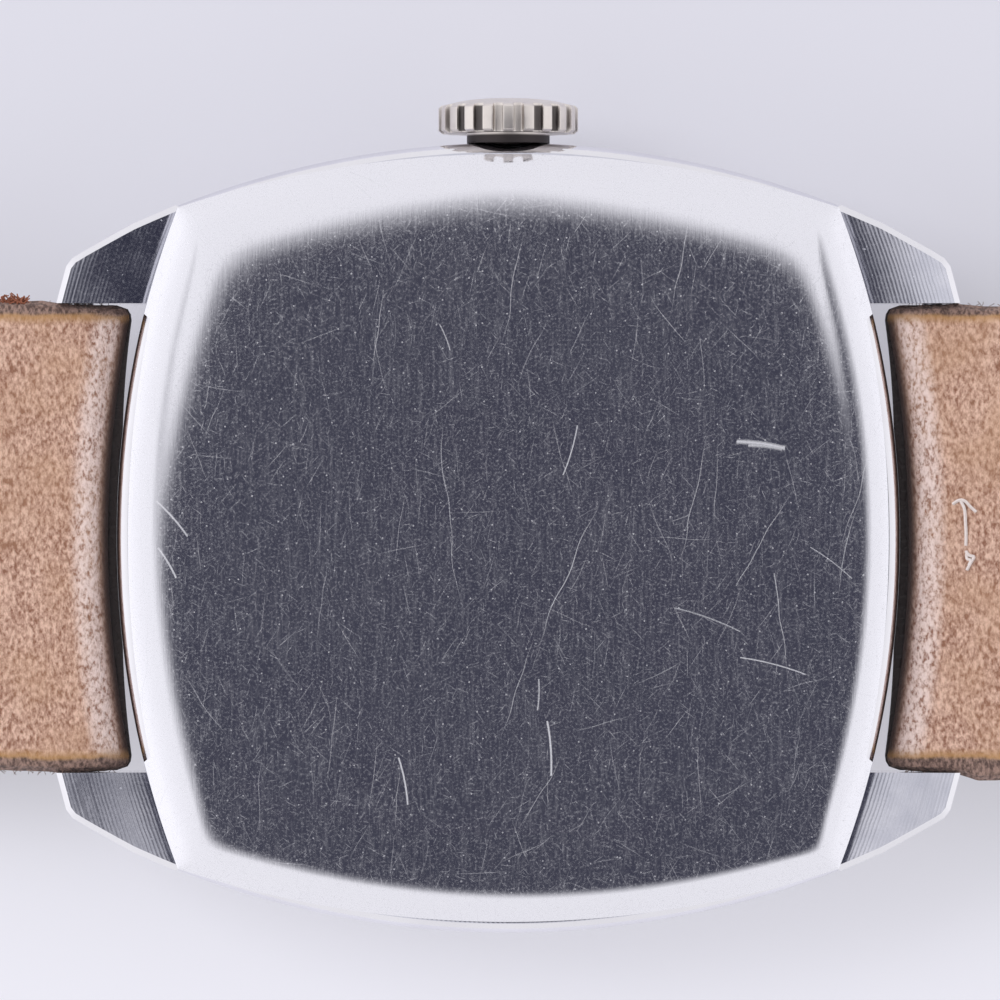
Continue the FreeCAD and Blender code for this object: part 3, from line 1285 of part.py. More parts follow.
export("buckle_frame", buckle_frame())
export("buckle_bar", rod_y(BUCKLE_BAR_R, -FRAME_OUTER_Y + 0.5, FRAME_OUTER_Y - 0.5, BUCKLE_X, BUCKLE_Z))
export("buckle_tang", buckle_tang())
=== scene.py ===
import math
import random

import bpy
import numpy as np
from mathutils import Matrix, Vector, noise


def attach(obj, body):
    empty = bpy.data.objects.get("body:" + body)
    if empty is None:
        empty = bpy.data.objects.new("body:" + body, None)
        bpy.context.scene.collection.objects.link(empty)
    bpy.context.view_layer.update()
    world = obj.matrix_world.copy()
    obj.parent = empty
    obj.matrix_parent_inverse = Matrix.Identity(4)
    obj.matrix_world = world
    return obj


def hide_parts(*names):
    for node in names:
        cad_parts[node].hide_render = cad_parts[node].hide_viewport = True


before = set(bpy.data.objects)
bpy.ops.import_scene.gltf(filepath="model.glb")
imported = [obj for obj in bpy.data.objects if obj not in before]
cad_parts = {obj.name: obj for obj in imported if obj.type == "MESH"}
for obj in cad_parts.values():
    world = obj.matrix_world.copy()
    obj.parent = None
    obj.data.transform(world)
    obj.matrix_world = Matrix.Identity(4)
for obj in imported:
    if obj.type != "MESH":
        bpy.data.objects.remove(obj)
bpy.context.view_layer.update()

# ---- Plates and bridges of the movement ----
# The main plate carries the train, and bridges screwed to its back hold the upper pivots. All are brass,
# nickel plated: the plate is spotted all over, and the bridges are striped straight across.

MM = 0.001
STRIPE_HEADING = math.radians(38)
SPOTS_PER_MM = 1.25


class Signal:
    """One output inside a material. Sums and products of signals add the nodes they need."""

    def __init__(self, finish, socket):
        self.finish = finish
        self.socket = socket

    def math(self, operation, *others, clamp=False):
        return self.finish.math(operation, self, *others, clamp=clamp)

    def clipped(self):
        return self.math("ADD", 0.0, clamp=True)

    def __add__(self, other):
        return self.math("ADD", other)

    def __sub__(self, other):
        return self.math("SUBTRACT", other)

    def __mul__(self, other):
        return self.math("MULTIPLY", other)

    def __truediv__(self, other):
        return self.math("DIVIDE", other)

    def __rsub__(self, other):
        return self.finish.math("SUBTRACT", other, self)

    def __rtruediv__(self, other):
        return self.finish.math("DIVIDE", other, self)

    def __lt__(self, other):
        return self.math("LESS_THAN", other)

    def __gt__(self, other):
        return self.math("GREATER_THAN", other)

    def __abs__(self):
        return self.math("ABSOLUTE")

    __radd__ = __add__
    __rmul__ = __mul__


class Finish:
    """The nodes of one material, or of the studio's world. Lengths in its patterns are millimetres."""

    def __init__(self, owner, constants):
        if isinstance(owner, str):
            owner = bpy.data.materials.new(owner)
        owner.use_nodes = True
        self.owner = owner
        self.tree = owner.node_tree
        self.shader = self.tree.nodes.get("Principled BSDF") or self.tree.nodes["Background"]
        for socket, value in constants.items():
            self.shader.inputs[socket].default_value = value

    def node(self, kind, settings, values, out=0):
        made = self.tree.nodes.new("ShaderNode" + kind)
        for name, value in settings.items():
            setattr(made, name, value)
        for socket, value in values.items():
            if isinstance(value, Signal):
                self.tree.links.new(value.socket, made.inputs[socket])
            else:
                made.inputs[socket].default_value = value
        return Signal(self, made.outputs[out])

    def math(self, operation, *values, clamp=False):
        return self.node("Math", {"operation": operation, "use_clamp": clamp}, dict(enumerate(values)))

    def vector(self, operation, first, second):
        """Sum, difference or product of two vectors."""
        return self.node("VectorMath", {"operation": operation}, {0: first, 1: second})

    def scaled(self, vector, factor):
        return self.node("VectorMath", {"operation": "SCALE"}, {0: vector, "Scale": factor})

    def feed(self, socket, signal):
        self.tree.links.new(signal.socket, self.shader.inputs[socket])

    def place(self, centre=(0, 0, 0), turn=(0, 0, 0), stretch=(1, 1, 1)):
        """Position on the piece in millimetres, about a centre, turned and stretched."""
        metres = self.node("TexCoord", {}, {}, "Object")
        size = [s / MM for s in stretch]
        moved = self.vector("SUBTRACT", metres, [c * MM for c in centre])
        return self.node("Mapping", {}, {"Vector": moved, "Rotation": turn, "Scale": size})

    def axis(self, vector, which):
        return self.node("SeparateXYZ", {}, {0: vector}, which)

    def radius(self, vector, keep=(1, 1, 0)):
        """Distance from the z axis, or from the axis that keep leaves out."""
        flat = self.vector("MULTIPLY", vector, keep)
        return self.node("VectorMath", {"operation": "LENGTH"}, {0: flat}, "Value")

    def rings(self, radius, scale, detail):
        """Noise in rings, as a tool's point leaves them."""
        values = {"W": radius, "Scale": scale, "Detail": detail}
        return self.node("TexNoise", {"noise_dimensions": "1D"}, values)

    def grain(self, vector, scale, detail=2.0, roughness=0.5):
        """Cloudy noise from 0 to 1, scale being features per millimetre."""
        values = {"Vector": vector, "Scale": scale, "Detail": detail, "Roughness": roughness}
        return self.node("TexNoise", {}, values)

    def blend(self, share, first, second):
        """Colour between two colours."""
        return self.node("Mix", {"data_type": "RGBA"}, {0: share, 6: first, 7: second}, 2)

    def ramp(self, signal, low, high):
        """0 below low, 1 above high, smooth in between."""
        values = {"Value": signal, "From Min": low, "From Max": high}
        return self.node("MapRange", {"interpolation_type": "SMOOTHSTEP"}, values)

    def colour(self, share, first, second):
        """Base colour between two colours."""
        self.feed("Base Color", self.blend(share, first, second))

    def relief(self, height, depth, strength=1.0):
        """Bump of a depth in millimetres."""
        values = {"Height": height, "Distance": depth * MM, "Strength": strength}
        self.feed("Normal", self.node("Bump", {}, values))


METAL = {"Metallic": 1.0}


def shade(red, green, blue):
    """Colour as a picture shows it, 0 to 255, as the linear colour a shader takes."""
    linear = []
    for part in (red, green, blue):
        part = part / 255
        linear.append(part / 12.92 if part <= 0.04045 else ((part + 0.055) / 1.055) ** 2.4)
    return (*linear, 1.0)


def clouded(name, constants, cloud, dull, bright, roughness=None, change=0.0):
    """A finish that follows one cloudy grain: its scale and detail, two colours, and the roughness."""
    finish = Finish(name, constants)
    grain = finish.grain(finish.place(), *cloud)
    finish.colour(grain, shade(*dull), shade(*bright))
    if roughness is not None:
        finish.feed("Roughness", roughness + grain * change)
    return finish, grain


def wear(finish, *names):
    """Give CAD pieces a finish."""
    for name in names:
        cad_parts[name].material_slots[0].material = finish.owner


def plated(name, turn):
    """Nickel plate over brass, in stripes across the turned direction."""
    finish = Finish(name, METAL)
    spot = finish.place(turn=(0, 0, turn))
    stripe = finish.math("PINGPONG", finish.axis(spot, 0), 1.0)
    lines = finish.grain(finish.place(turn=(0, 0, turn), stretch=(1, 30, 1)), 1.2, 3.0)
    cloud = finish.grain(finish.place(), 0.35, 3.0)
    finish.colour(cloud, shade(196, 193, 188), shade(222, 219, 212))
    finish.feed("Roughness", 0.18 + stripe * 0.16 + lines * 0.08)
    finish.relief(stripe + lines * 0.15, 0.04, 0.5)
    return finish


striped = plated("striped_nickel", STRIPE_HEADING)
wear(striped, "barrel_bridge", "train_bridge", "balance_cock", "pallet_cock")

spotted = Finish("spotted_nickel", METAL)
spot = spotted.place()
cells = {"Vector": spot, "Scale": SPOTS_PER_MM, "Randomness": 0.12}
from_spot = spotted.node("TexVoronoi", {"voronoi_dimensions": "2D"}, cells)
rings = spotted.math("SINE", from_spot * 95.0)
cloud = spotted.grain(spot, 0.4, 3.0)
spotted.colour(cloud, shade(190, 187, 180), shade(216, 213, 206))
spotted.feed("Roughness", 0.24 + rings * 0.05 + cloud * 0.08)
spotted.relief(rings, 0.006, 0.6)
wear(spotted, "main_plate")

# ---- Wheels, pinions and barrel ----
# Wheels are punched from brass and gilt, with leaves cut in steel arbors. Each is faced in a lathe, which
# leaves fine rings about its own axis.

BARREL = (5.220, 2.434)
GILT_WHEELS = {
    "centre_wheel": (0.0, 0.0), "hour_wheel": (0.0, 0.0), "third_wheel": (-3.682, 2.587),
    "fourth_wheel": (-6.5, 0.0), "minute_wheel": (0.417, 2.364), "barrel_drum": BARREL,
    "balance_wheel": (-2.6, -7.6),
}
STEEL_WHEELS = {
    "cannon_pinion": (0.0, 0.0), "escape_wheel": (-5.756, -3.216), "setting_wheel": (0.605, 5.057),
    "ratchet_wheel": BARREL, "barrel_arbor": BARREL, "crown_wheel": (0.0, 7.6), "click": (9.9, -2.6),
}
GILT = (shade(196, 158, 92), shade(226, 192, 124))
STEEL = (shade(168, 168, 174), shade(206, 206, 212))


def turned(name, dull, bright, centre, base_roughness):
    """Metal faced in a lathe about one axis, with handling marks."""
    finish = Finish(name, METAL)
    spot = finish.place(centre=(*centre, 0))
    tool = finish.rings(finish.radius(spot), 22.0, 2.0)
    cloud = finish.grain(spot, 0.9, 3.0)
    finish.colour(cloud, dull, bright)
    finish.feed("Roughness", base_roughness + tool * 0.12 + cloud * 0.06)
    finish.relief(tool, 0.01, 0.5)
    return finish


for piece, centre in GILT_WHEELS.items():
    wear(turned("gilt_" + piece, *GILT, centre, 0.2), piece)
for piece, centre in STEEL_WHEELS.items():
    wear(turned("steel_" + piece, *STEEL, centre, 0.14), piece)

# ---- Keyless work, screws, springs and jewels ----
# Levers, springs, pinions and screws are hardened steel, ground along their length and lightly oiled.
# The hairspring is blued in heat, and the jewels are synthetic ruby, pressed in from the back.


def ground(name, dull, bright, turn, base_roughness):
    """Steel ground in straight lines."""
    finish = Finish(name, METAL)
    lines = finish.grain(finish.place(turn=turn, stretch=(1, 24, 1)), 2.0, 3.0)
    cloud = finish.grain(finish.place(), 0.8, 3.0)
    finish.colour(cloud, dull, bright)
    finish.feed("Roughness", base_roughness + lines * 0.14)
    finish.relief(lines, 0.008, 0.5)
    return finish


ground_steel = ground("ground_steel", *STEEL, (0, 0, 0.5), 0.18)
wear(
    ground_steel, "winding_pinion", "sliding_pinion", "winding_stem", "setting_lever", "yoke", "click_spring",
    "pallet_fork", "movement_screws", "case_clamps", "mainspring", "spring_bar_springs",
)
blued = ground("blued_spring", shade(28, 48, 122), shade(52, 84, 170), (0, 0, 0), 0.16)
wear(blued, "hairspring")

RUBY = {"IOR": 1.76, "Transmission Weight": 0.35, "Coat Weight": 0.5}
ruby, _ = clouded("ruby", RUBY, (3.0, 2.0), (150, 12, 48), (206, 34, 84), 0.04, 0.08)
wear(ruby, "jewels")

SOFT = {"Specular IOR Level": 0.35}
rubber, dust = clouded("seal_rubber", SOFT, (2.2, 4.0), (30, 30, 32), (58, 57, 58), 0.55, 0.2)
rubber.relief(dust, 0.02, 0.4)
wear(rubber, "back_gasket", "crystal_gasket", "crown_gasket")

# ---- Dial and hour markers ----
# The dial is a silvered brass disc held by the movement, brushed outwards from its middle, with printed
# minute and seconds tracks. The markers are small polished batons with feet through the dial.

SECONDS_CENTRE = (-6.5, 0.0)
MINUTE_TRACK = (11.05, 11.45, 60, 0.035)
SECONDS_TRACK = (1.75, 2.1, 12, 0.03)
PLATED_SHARE = 0.85
silver = Finish("silvered_dial", {"Metallic": PLATED_SHARE})


def rim_track(finish, centre, low, high, ticks, tick_half):
    """Printed ring with ticks inside it: 1 where there is ink."""
    spot = finish.place(centre=(*centre, 0))
    radius = finish.radius(spot)
    turn = finish.math("ARCTAN2", finish.axis(spot, 1), finish.axis(spot, 0)) * (ticks / math.tau)
    gap = abs(finish.math("FRACT", turn + 0.5) - 0.5) * (math.tau / ticks) * radius
    tick = (gap < tick_half) * (radius > low) * (radius < high)
    ring = abs(radius - high) < tick_half
    return finish.math("MAXIMUM", tick, ring)


minute_ink = rim_track(silver, (0, 0), *MINUTE_TRACK)
ink = silver.math("MAXIMUM", minute_ink, rim_track(silver, SECONDS_CENTRE, *SECONDS_TRACK))
spot = silver.place()
ray = silver.node("VectorMath", {"operation": "NORMALIZE"}, {0: silver.vector("MULTIPLY", spot, (1, 1, 0))})
sunray = silver.grain(ray, 90.0, 2.0)
age = silver.grain(spot, 0.25, 5.0)
clean = silver.blend(age, shade(206, 203, 192), shade(228, 226, 218))
silver.colour(ink, clean, shade(34, 34, 38))
silver.feed("Metallic", PLATED_SHARE - ink * 0.8)
silver.feed("Roughness", 0.3 + sunray * 0.18 + ink * 0.2)
silver.relief(sunray + ink * 2.0, 0.008, 0.6)
wear(silver, "dial")

baton, _ = clouded("polished_markers", METAL, (2.0, 3.0), (206, 206, 208), (232, 232, 234), 0.06, 0.07)
wear(baton, "dial_markers")

# ---- Hands ----
# Three blued steel hands are pressed on their pipes: a faceted lance for the hours and one for the
# minutes, and a needle in the seconds dial. Each has a round boss about its pipe.

RIDGE_SHARE = 0.7


def alone(piece):
    """Select one piece only and work on it."""
    bpy.ops.object.select_all(action="DESELECT")
    bpy.context.view_layer.objects.active = piece
    piece.select_set(True)


def pick(piece, kind, wanted):
    """Go into edit mode with only the wanted faces, edges or points selected. Lengths are millimetres."""
    if bpy.context.mode != "OBJECT":
        bpy.ops.object.mode_set(mode="OBJECT")
    alone(piece)
    mesh = piece.data
    parts = {"faces": mesh.polygons, "edges": mesh.edges, "points": mesh.vertices}
    for group in parts.values():
        group.foreach_set("select", [False] * len(group))
    bpy.context.tool_settings.mesh_select_mode = (kind == "points", kind == "edges", kind == "faces")
    for part in parts[kind]:
        if kind == "faces":
            part.select = wanted(part.center / MM, part.normal)
        elif kind == "points":
            part.select = wanted(part.co / MM)
        else:
            ends = [mesh.vertices[end].co / MM for end in part.vertices]
            part.select = wanted((ends[0] + ends[1]) / 2, ends[1] - ends[0])
    bpy.ops.object.mode_set(mode="EDIT")


def seal(piece):
    """Merge doubled points and turn every face outwards."""
    alone(piece)
    bpy.ops.object.mode_set(mode="EDIT")
    bpy.ops.mesh.select_all(action="SELECT")
    bpy.ops.mesh.remove_doubles(threshold=1e-7)
    bpy.ops.mesh.normals_make_consistent(inside=False)
    bpy.ops.object.mode_set(mode="OBJECT")


def place_in_mesh():
    """Apply the active object's move, turn and size to its mesh."""
    bpy.ops.object.transform_apply(location=True, rotation=True, scale=True)


def pull(x, y, z):
    """Extrude what is selected."""
    bpy.ops.mesh.extrude_region_move(TRANSFORM_OT_translate={"value": (x * MM, y * MM, z * MM)})


def settle(piece, name, finish, angle=30):
    """Put the place in the mesh, close it, name it and give it its finish."""
    alone(piece)
    place_in_mesh()
    seal(piece)
    bpy.ops.object.shade_smooth_by_angle(angle=math.radians(angle))
    piece.name = name
    piece.data.materials.clear()
    piece.data.materials.append(finish.owner)
    return piece


def carve(piece, tool, operation="DIFFERENCE"):
    """Cut a tool out of a piece, or weld or intersect them, and drop the tool."""
    alone(piece)
    cut = piece.modifiers.new("cut", "BOOLEAN")
    cut.operation = operation
    cut.solver = "EXACT"
    cut.object = tool
    bpy.ops.object.modifier_apply(modifier=cut.name)
    bpy.data.objects.remove(tool)


def disc(radius, low, high, centre=(0, 0), axis="Z", vertices=192):
    """Round bar between two heights along an axis."""
    middle = (low + high) / 2
    if axis == "Z":
        turn, place = (0, 0, 0), (centre[0], centre[1], middle)
    else:
        turn, place = (math.pi / 2, 0, 0), (centre[0], middle, centre[1])
    bpy.ops.object.select_all(action="DESELECT")
    bpy.ops.mesh.primitive_cylinder_add(
        vertices=vertices, radius=radius * MM, depth=(high - low) * MM,
        location=Vector(place) * MM, rotation=turn,
    )
    place_in_mesh()
    return bpy.context.object


def block(x, y, z):
    """Box between pairs of limits."""
    bpy.ops.object.select_all(action="DESELECT")
    middle = Vector([sum(pair) / 2 for pair in (x, y, z)])
    bpy.ops.mesh.primitive_cube_add(size=1, location=middle * MM)
    bpy.context.object.scale = [(pair[1] - pair[0]) * MM for pair in (x, y, z)]
    place_in_mesh()
    return bpy.context.object


def round_edges(piece, width, segments=2, angle=30):
    """Break every edge sharper than an angle."""
    alone(piece)
    bevel = piece.modifiers.new("bevel", "BEVEL")
    bevel.width = width * MM
    bevel.segments = segments
    bevel.limit_method = "ANGLE"
    bevel.angle_limit = math.radians(angle)
    bpy.ops.object.modifier_apply(modifier=bevel.name)


def ease(piece, wanted, width, segments):
    """Round the wanted edges."""
    pick(piece, "edges", wanted)
    bpy.ops.mesh.bevel(offset=width * MM, segments=segments, affect="EDGES")
    bpy.ops.object.mode_set(mode="OBJECT")


def hand(name, body, centre, turn, length, tail, width, low, high, boss, bore):
    """Four-sided lance with its ridge towards the dial's front, a boss and a bore."""
    ridge = (high - low) * RIDGE_SHARE
    bpy.ops.object.select_all(action="DESELECT")
    bpy.ops.mesh.primitive_cone_add(vertices=4, radius1=MM, radius2=0, depth=ridge * MM)
    lance = bpy.context.object
    pick(lance, "faces", lambda middle, normal: normal.z < -0.9)
    pull(0, 0, ridge - (high - low))
    bpy.ops.mesh.select_all(action="SELECT")
    bpy.ops.transform.resize(value=(length, width / 2, -1), center_override=(0, 0, 0))
    pick(lance, "points", lambda at: at.x < -0.5 * length)
    bpy.ops.transform.translate(value=((length - tail) * MM, 0, 0))
    bpy.ops.object.mode_set(mode="OBJECT")
    seal(lance)
    heights = [point.co.z / MM for point in lance.data.vertices]
    lance.location = Vector((0, 0, low - min(heights))) * MM
    place_in_mesh()
    carve(lance, disc(boss, low - 0.01, high, vertices=64), "UNION")
    carve(lance, disc(bore, low - 1, high + 1, vertices=64))
    round_edges(lance, 0.012, 1)
    lance.rotation_euler.z = math.radians(turn)
    lance.location = Vector((*centre, 0)) * MM
    settle(lance, name, blued_hands)
    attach(lance, body)
    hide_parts(name.replace("_piece", ""))


blued_hands, _ = clouded("blued_hands", METAL, (0.6, 2.0), (24, 40, 116), (58, 92, 184), 0.08, 0.08)
hand(
    "hour_hand_piece", "hour_train", (0, 0), 304.8, length=6.4, tail=1.6, width=1.7,
    low=2.47, high=2.60, boss=1.05, bore=0.75,
)
hand(
    "minute_hand_piece", "minute_train", (0, 0), 57.5, length=10.3, tail=1.8, width=1.4,
    low=2.02, high=2.14, boss=0.85, bore=0.48,
)
hand(
    "seconds_hand_piece", "fourth", SECONDS_CENTRE, 210.0, length=2.0, tail=0.7, width=0.3,
    low=2.78, high=2.88, boss=0.3, bore=0.12,
)

# ---- Case middle and lugs ----
# One block of stainless steel, milled to a cushion of four arcs with a lug at each corner and polished.
# The undersides of the lugs keep the rings of the cutter, and their outer edges are bevelled bright.

MIDDLE_X = 15.10
MIDDLE_Y = 15.23
CORNER = 12.8
MIDDLE_FRONT = 2.3
MIDDLE_BACK = 6.2
LUG_TURN_X = -18.0
LUG_TURN_R = 31.9
BAR = Vector((16.4, 0, 5.0))
STEM_Z = 4.9


def side_radius(apex, corner):
    """Radius of a side that bulges out to its apex between two corners."""
    sagitta = apex - corner
    return (corner ** 2 + sagitta ** 2) / (2 * sagitta)


def cushion(apex_x, apex_y, corner, low, high):
    """Block of four arcs that meet at four corners: what four big discs have in common."""
    discs = []
    for apex, upright in ((apex_x, True), (apex_y, False)):
        radius = side_radius(apex, corner)
        for side in (1, -1):
            shift = side * (apex - radius)
            centre = (shift, 0) if upright else (0, shift)
            spare = len(discs) * 0.5
            discs.append(disc(radius, low - spare, high + spare, centre, vertices=720))
    for tool in discs[1:]:
        carve(discs[0], tool, "INTERSECT")
    return discs[0]


def lathe(profile, steps=256, centre=(0, 0, 0), axis=(0, 0, 1), across=(1, 0, 0)):
    """Turn a profile of radii and heights once round an axis."""
    axis = Vector(axis)
    across = Vector(across)
    points = [Vector(centre) + across * radius + axis * height for radius, height in profile]
    bpy.ops.object.select_all(action="DESELECT")
    bpy.ops.mesh.primitive_plane_add(size=MM, location=points[0] * MM)
    place_in_mesh()
    bpy.context.tool_settings.mesh_select_mode = (True, False, False)
    bpy.ops.object.mode_set(mode="EDIT")
    bpy.ops.mesh.select_all(action="SELECT")
    bpy.ops.mesh.merge(type="CENTER")
    for start, end in zip(points, points[1:]):
        pull(*(end - start))
    bpy.ops.mesh.select_all(action="SELECT")
    middle = Vector(centre) * MM
    bpy.ops.mesh.spin(steps=steps, angle=math.tau, center=middle, axis=axis, use_auto_merge=False)
    bpy.ops.object.mode_set(mode="OBJECT")
    seal(bpy.context.object)
    return bpy.context.object


def arc(x1, z1, x2, z2, bulge, steps=6):
    """Points of a gentle curve between two profile points, bowed to the left by the bulge."""
    run = Vector((x2 - x1, z2 - z1))
    out = Vector((-run.y, run.x)).normalized() * bulge
    points = []
    for step in range(1, steps + 1):
        share = step / steps
        at = Vector((x1, z1)) + run * share + out * math.sin(math.pi * share)
        points.append((at.x, at.y))
    return points


def turned_height(radius):
    """Height of the lugs' turned undersides, which climb a little faster towards the tips."""
    out = max(radius - LUG_TURN_R, 0)
    return MIDDLE_BACK + 0.1 * out + 0.018 * out * out


def lug_back(x, y):
    """Height of a lug's underside at a place."""
    return turned_height(math.hypot(x - LUG_TURN_X, y))


def bisect(piece, point, normal):
    """Cut away what lies on the far side of a plane, and close the cut."""
    alone(piece)
    bpy.ops.object.mode_set(mode="EDIT")
    bpy.ops.mesh.select_all(action="SELECT")
    bpy.ops.mesh.bisect(
        plane_co=Vector(point) * MM, plane_no=Vector(normal).normalized(),
        use_fill=True, clear_outer=True, threshold=1e-7,
    )
    bpy.ops.object.mode_set(mode="OBJECT")


def climb(steps, reach):
    """Raise the selected face in steps, each to a distance in from the rim and by a height."""
    now = 1.0
    for inset, rise in steps:
        pull(0, 0, rise)
        share = 1 - inset / reach
        bpy.ops.transform.resize(value=(share / now, share / now, 1), center_override=(0, 0, 0))
        now = share


OUTLINE = [
    (12.0, 12.46), (12.82, 12.82), (14.41, 12.12), (16.25, 11.08),
    (16.77, 10.76), (17.0, 10.45), (17.38, 9.03),
]
LUG_CHAMFER = 0.24
lug = block((12.0, 18.0), (9.03, 13.2), (2.9, 8.0))
for (x1, y1), (x2, y2) in zip(OUTLINE, OUTLINE[1:]):
    bisect(lug, (x1, y1, 5), (y1 - y2, x2 - x1, 0))
cuts = [LUG_TURN_R - 2 + 0.5 * step for step in range(17)]
turning = [(cut, turned_height(cut)) for cut in cuts]
inner, outer = turning[0][0], turning[-1][0]
carve(lug, lathe([(inner, 9)] + turning + [(outer, 9), (inner, 9)], 240, (LUG_TURN_X, 0, 0)))
for (x1, y1), (x2, y2) in list(zip(OUTLINE, OUTLINE[1:]))[1:]:
    along = Vector((x2 - x1, y2 - y1, lug_back(x2, y2) - lug_back(x1, y1))).normalized()
    outward = Vector((y1 - y2, x2 - x1, 0)).normalized() + Vector((0, 0, 1.15))
    slope = outward - along * outward.dot(along)
    bisect(lug, (x1, y1, lug_back(x1, y1) - LUG_CHAMFER), slope)
bisect(lug, (12.25, 0, 2.9), Vector((1.5, 0, -5.28)))
carve(lug, disc(0.42, 8, 10.05, (BAR.x, BAR.z), "Y", 48))
round_edges(lug, 0.03, 1, 52)

FLANK_R = 0.549
FRONT_CHAMFER = 0.45
turns = [math.radians(angle) for angle in range(0, 81, 5)]
flank = []
for low, high in zip(turns, turns[1:]):
    flank.append((FLANK_R * (1 - math.cos(high)), FLANK_R * (math.sin(high) - math.sin(low))))
upright_top = MIDDLE_BACK - sum(rise for _, rise in flank)
middle = cushion(MIDDLE_X, MIDDLE_Y, CORNER, MIDDLE_FRONT + FRONT_CHAMFER, upright_top)
pick(middle, "faces", lambda at, normal: normal.z > 0.9)
climb(flank, MIDDLE_X)
pick(middle, "faces", lambda at, normal: normal.z < -0.9)
climb([(FRONT_CHAMFER, -FRONT_CHAMFER)], MIDDLE_X)
bpy.ops.object.mode_set(mode="OBJECT")
for across, along in ((1, 1), (1, -1), (-1, 1), (-1, -1)):
    alone(lug)
    bpy.ops.object.duplicate()
    copy = bpy.context.object
    copy.scale = (across, along, 1)
    place_in_mesh()
    seal(copy)
    carve(middle, copy, "UNION")
bpy.data.objects.remove(lug)
# room for the cover, and the round rim that it is pressed over
carve(middle, cushion(15.08, 14.78, 12.73, MIDDLE_BACK, MIDDLE_BACK + 2))
carve(middle, disc(13.5, MIDDLE_BACK - 0.5, MIDDLE_BACK + 0.7), "UNION")
# the room for the movement, the opening for the crystal, the seal's groove and the hole for the crown's tube
carve(middle, disc(12.85, 3.05, MIDDLE_BACK + 2))
carve(middle, disc(12.15, MIDDLE_FRONT - 1, 3.15))
groove = disc(13.25, 5.0, 5.41)
carve(groove, disc(12.7, 4.5, 6.0))
carve(middle, groove)
carve(middle, disc(0.9, 11.8, 16.3, (0, STEM_Z), "Y", 64))

polished_case = Finish("polished_case", METAL)
spot = polished_case.place()
cloud = polished_case.grain(spot, 0.5, 4.0)
rub = polished_case.grain(polished_case.place(turn=(0.3, 0.2, 0.9), stretch=(1, 9, 1)), 3.0, 4.0, 0.6)
polished_case.colour(cloud, shade(224, 223, 228), shade(238, 238, 242))
polished_case.feed("Roughness", 0.07 + polished_case.ramp(rub, 0.55, 0.75) * 0.16)
polished_case.relief(rub, 0.004, 0.5)

GROOVE_STEP = 0.14
lug_under = Finish("turned_lug_back", METAL)
spot = lug_under.place()
mirrored = lug_under.node("VectorMath", {"operation": "ABSOLUTE"}, {0: spot})
radius = lug_under.radius(lug_under.vector("SUBTRACT", mirrored, (LUG_TURN_X, 0, 0)))
wander = lug_under.grain(spot, 1.5, 2.0)
cut = lug_under.math("SINE", radius * (math.tau / GROOVE_STEP) + wander * 3.0)
tool = lug_under.rings(radius, 9.0, 3.0)
cloud = lug_under.grain(spot, 0.9, 4.0)
patchy = lug_under.ramp(lug_under.grain(spot, 0.7, 2.0), 0.3, 0.7)
crumbs = lug_under.grain(spot, 9.0, 3.0, 0.7)
specks = lug_under.ramp(lug_under.grain(spot, 6.0, 1.0), 0.74, 0.8)
matt = (0.5 + cut * 0.5) * tool * patchy * 0.26 + lug_under.ramp(crumbs, 0.45, 0.8) * 0.14 + specks * 0.5
matt = matt * lug_under.ramp(radius, LUG_TURN_R - 2, LUG_TURN_R + 3)
lug_under.colour(cloud, shade(186, 188, 200), shade(224, 224, 232))
lug_under.feed("Metallic", 1.0 - matt)
lug_under.feed("Roughness", 0.08 + tool * 0.06 + matt * 0.4)
lug_under.relief(cut * tool * 0.9 + crumbs * 0.5 + cloud, 0.0012, 0.8)

settle(middle, "case_middle_piece", polished_case, 24)
middle.data.materials.append(lug_under.owner)
for face in middle.data.polygons:
    at = face.center / MM
    on_back = 0.95 < face.normal.z < 0.995 and at.z > 6.15 and abs(at.y) > 9
    face.material_index = 1 if on_back else 0
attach(middle, "watch_case")
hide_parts("case_middle")

# ---- Bezel and crystal ----
# The bezel is a turned steel ring, pressed into the front of the case middle, and holds the crystal in a
# thin seal. The crystal is clear, curved only at its rim, and the watch lies on it.

bezel = lathe(
    [(11.7, 1.3), (12.6, 1.3), (12.6, 0.66), (12.66, 0.6)] + arc(12.66, 0.6, 12.92, 0.46, -0.02, 3)
    + arc(12.92, 0.46, 13.3, 0.72, -0.02, 4) + arc(13.3, 0.72, 13.82, 1.36, -0.05, 6)
    + arc(13.82, 1.36, 14.0, 1.95, -0.03, 5)
    + [(14.0, 2.3), (12.1, 2.3), (12.1, 2.8), (11.7, 2.8), (11.7, 1.3)]
)
settle(bezel, "bezel_piece", polished_case, 35)
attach(bezel, "watch_case")
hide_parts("bezel")

CLEAR = {"Base Color": shade(246, 249, 250), "Transmission Weight": 1.0, "IOR": 1.49}
glass = Finish("clear_crystal", CLEAR)
scuff = glass.grain(glass.place(turn=(0, 0, 0.4), stretch=(1, 14, 1)), 1.4, 4.0, 0.7)
glass.feed("Roughness", glass.ramp(scuff, 0.66, 0.82) * 0.14)
glass.relief(scuff, 0.002, 0.3)
crystal = lathe(
    [(0, 0), (11.1, 0)] + arc(11.1, 0, 11.95, 0.22, -0.02, 5) + arc(11.95, 0.22, 12.3, 0.62, -0.03, 4)
    + [(12.3, 1.3), (0, 1.3)]
)
settle(crystal, "crystal_piece", glass, 40)
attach(crystal, "watch_case")
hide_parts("crystal")

# ---- Case back ----
# A cover of stainless steel, pressed over the rim of the case middle. It is stamped to a cushion with
# soft shoulders that meet in a mitre at the corners, polished, and worn to a net of fine scratches.

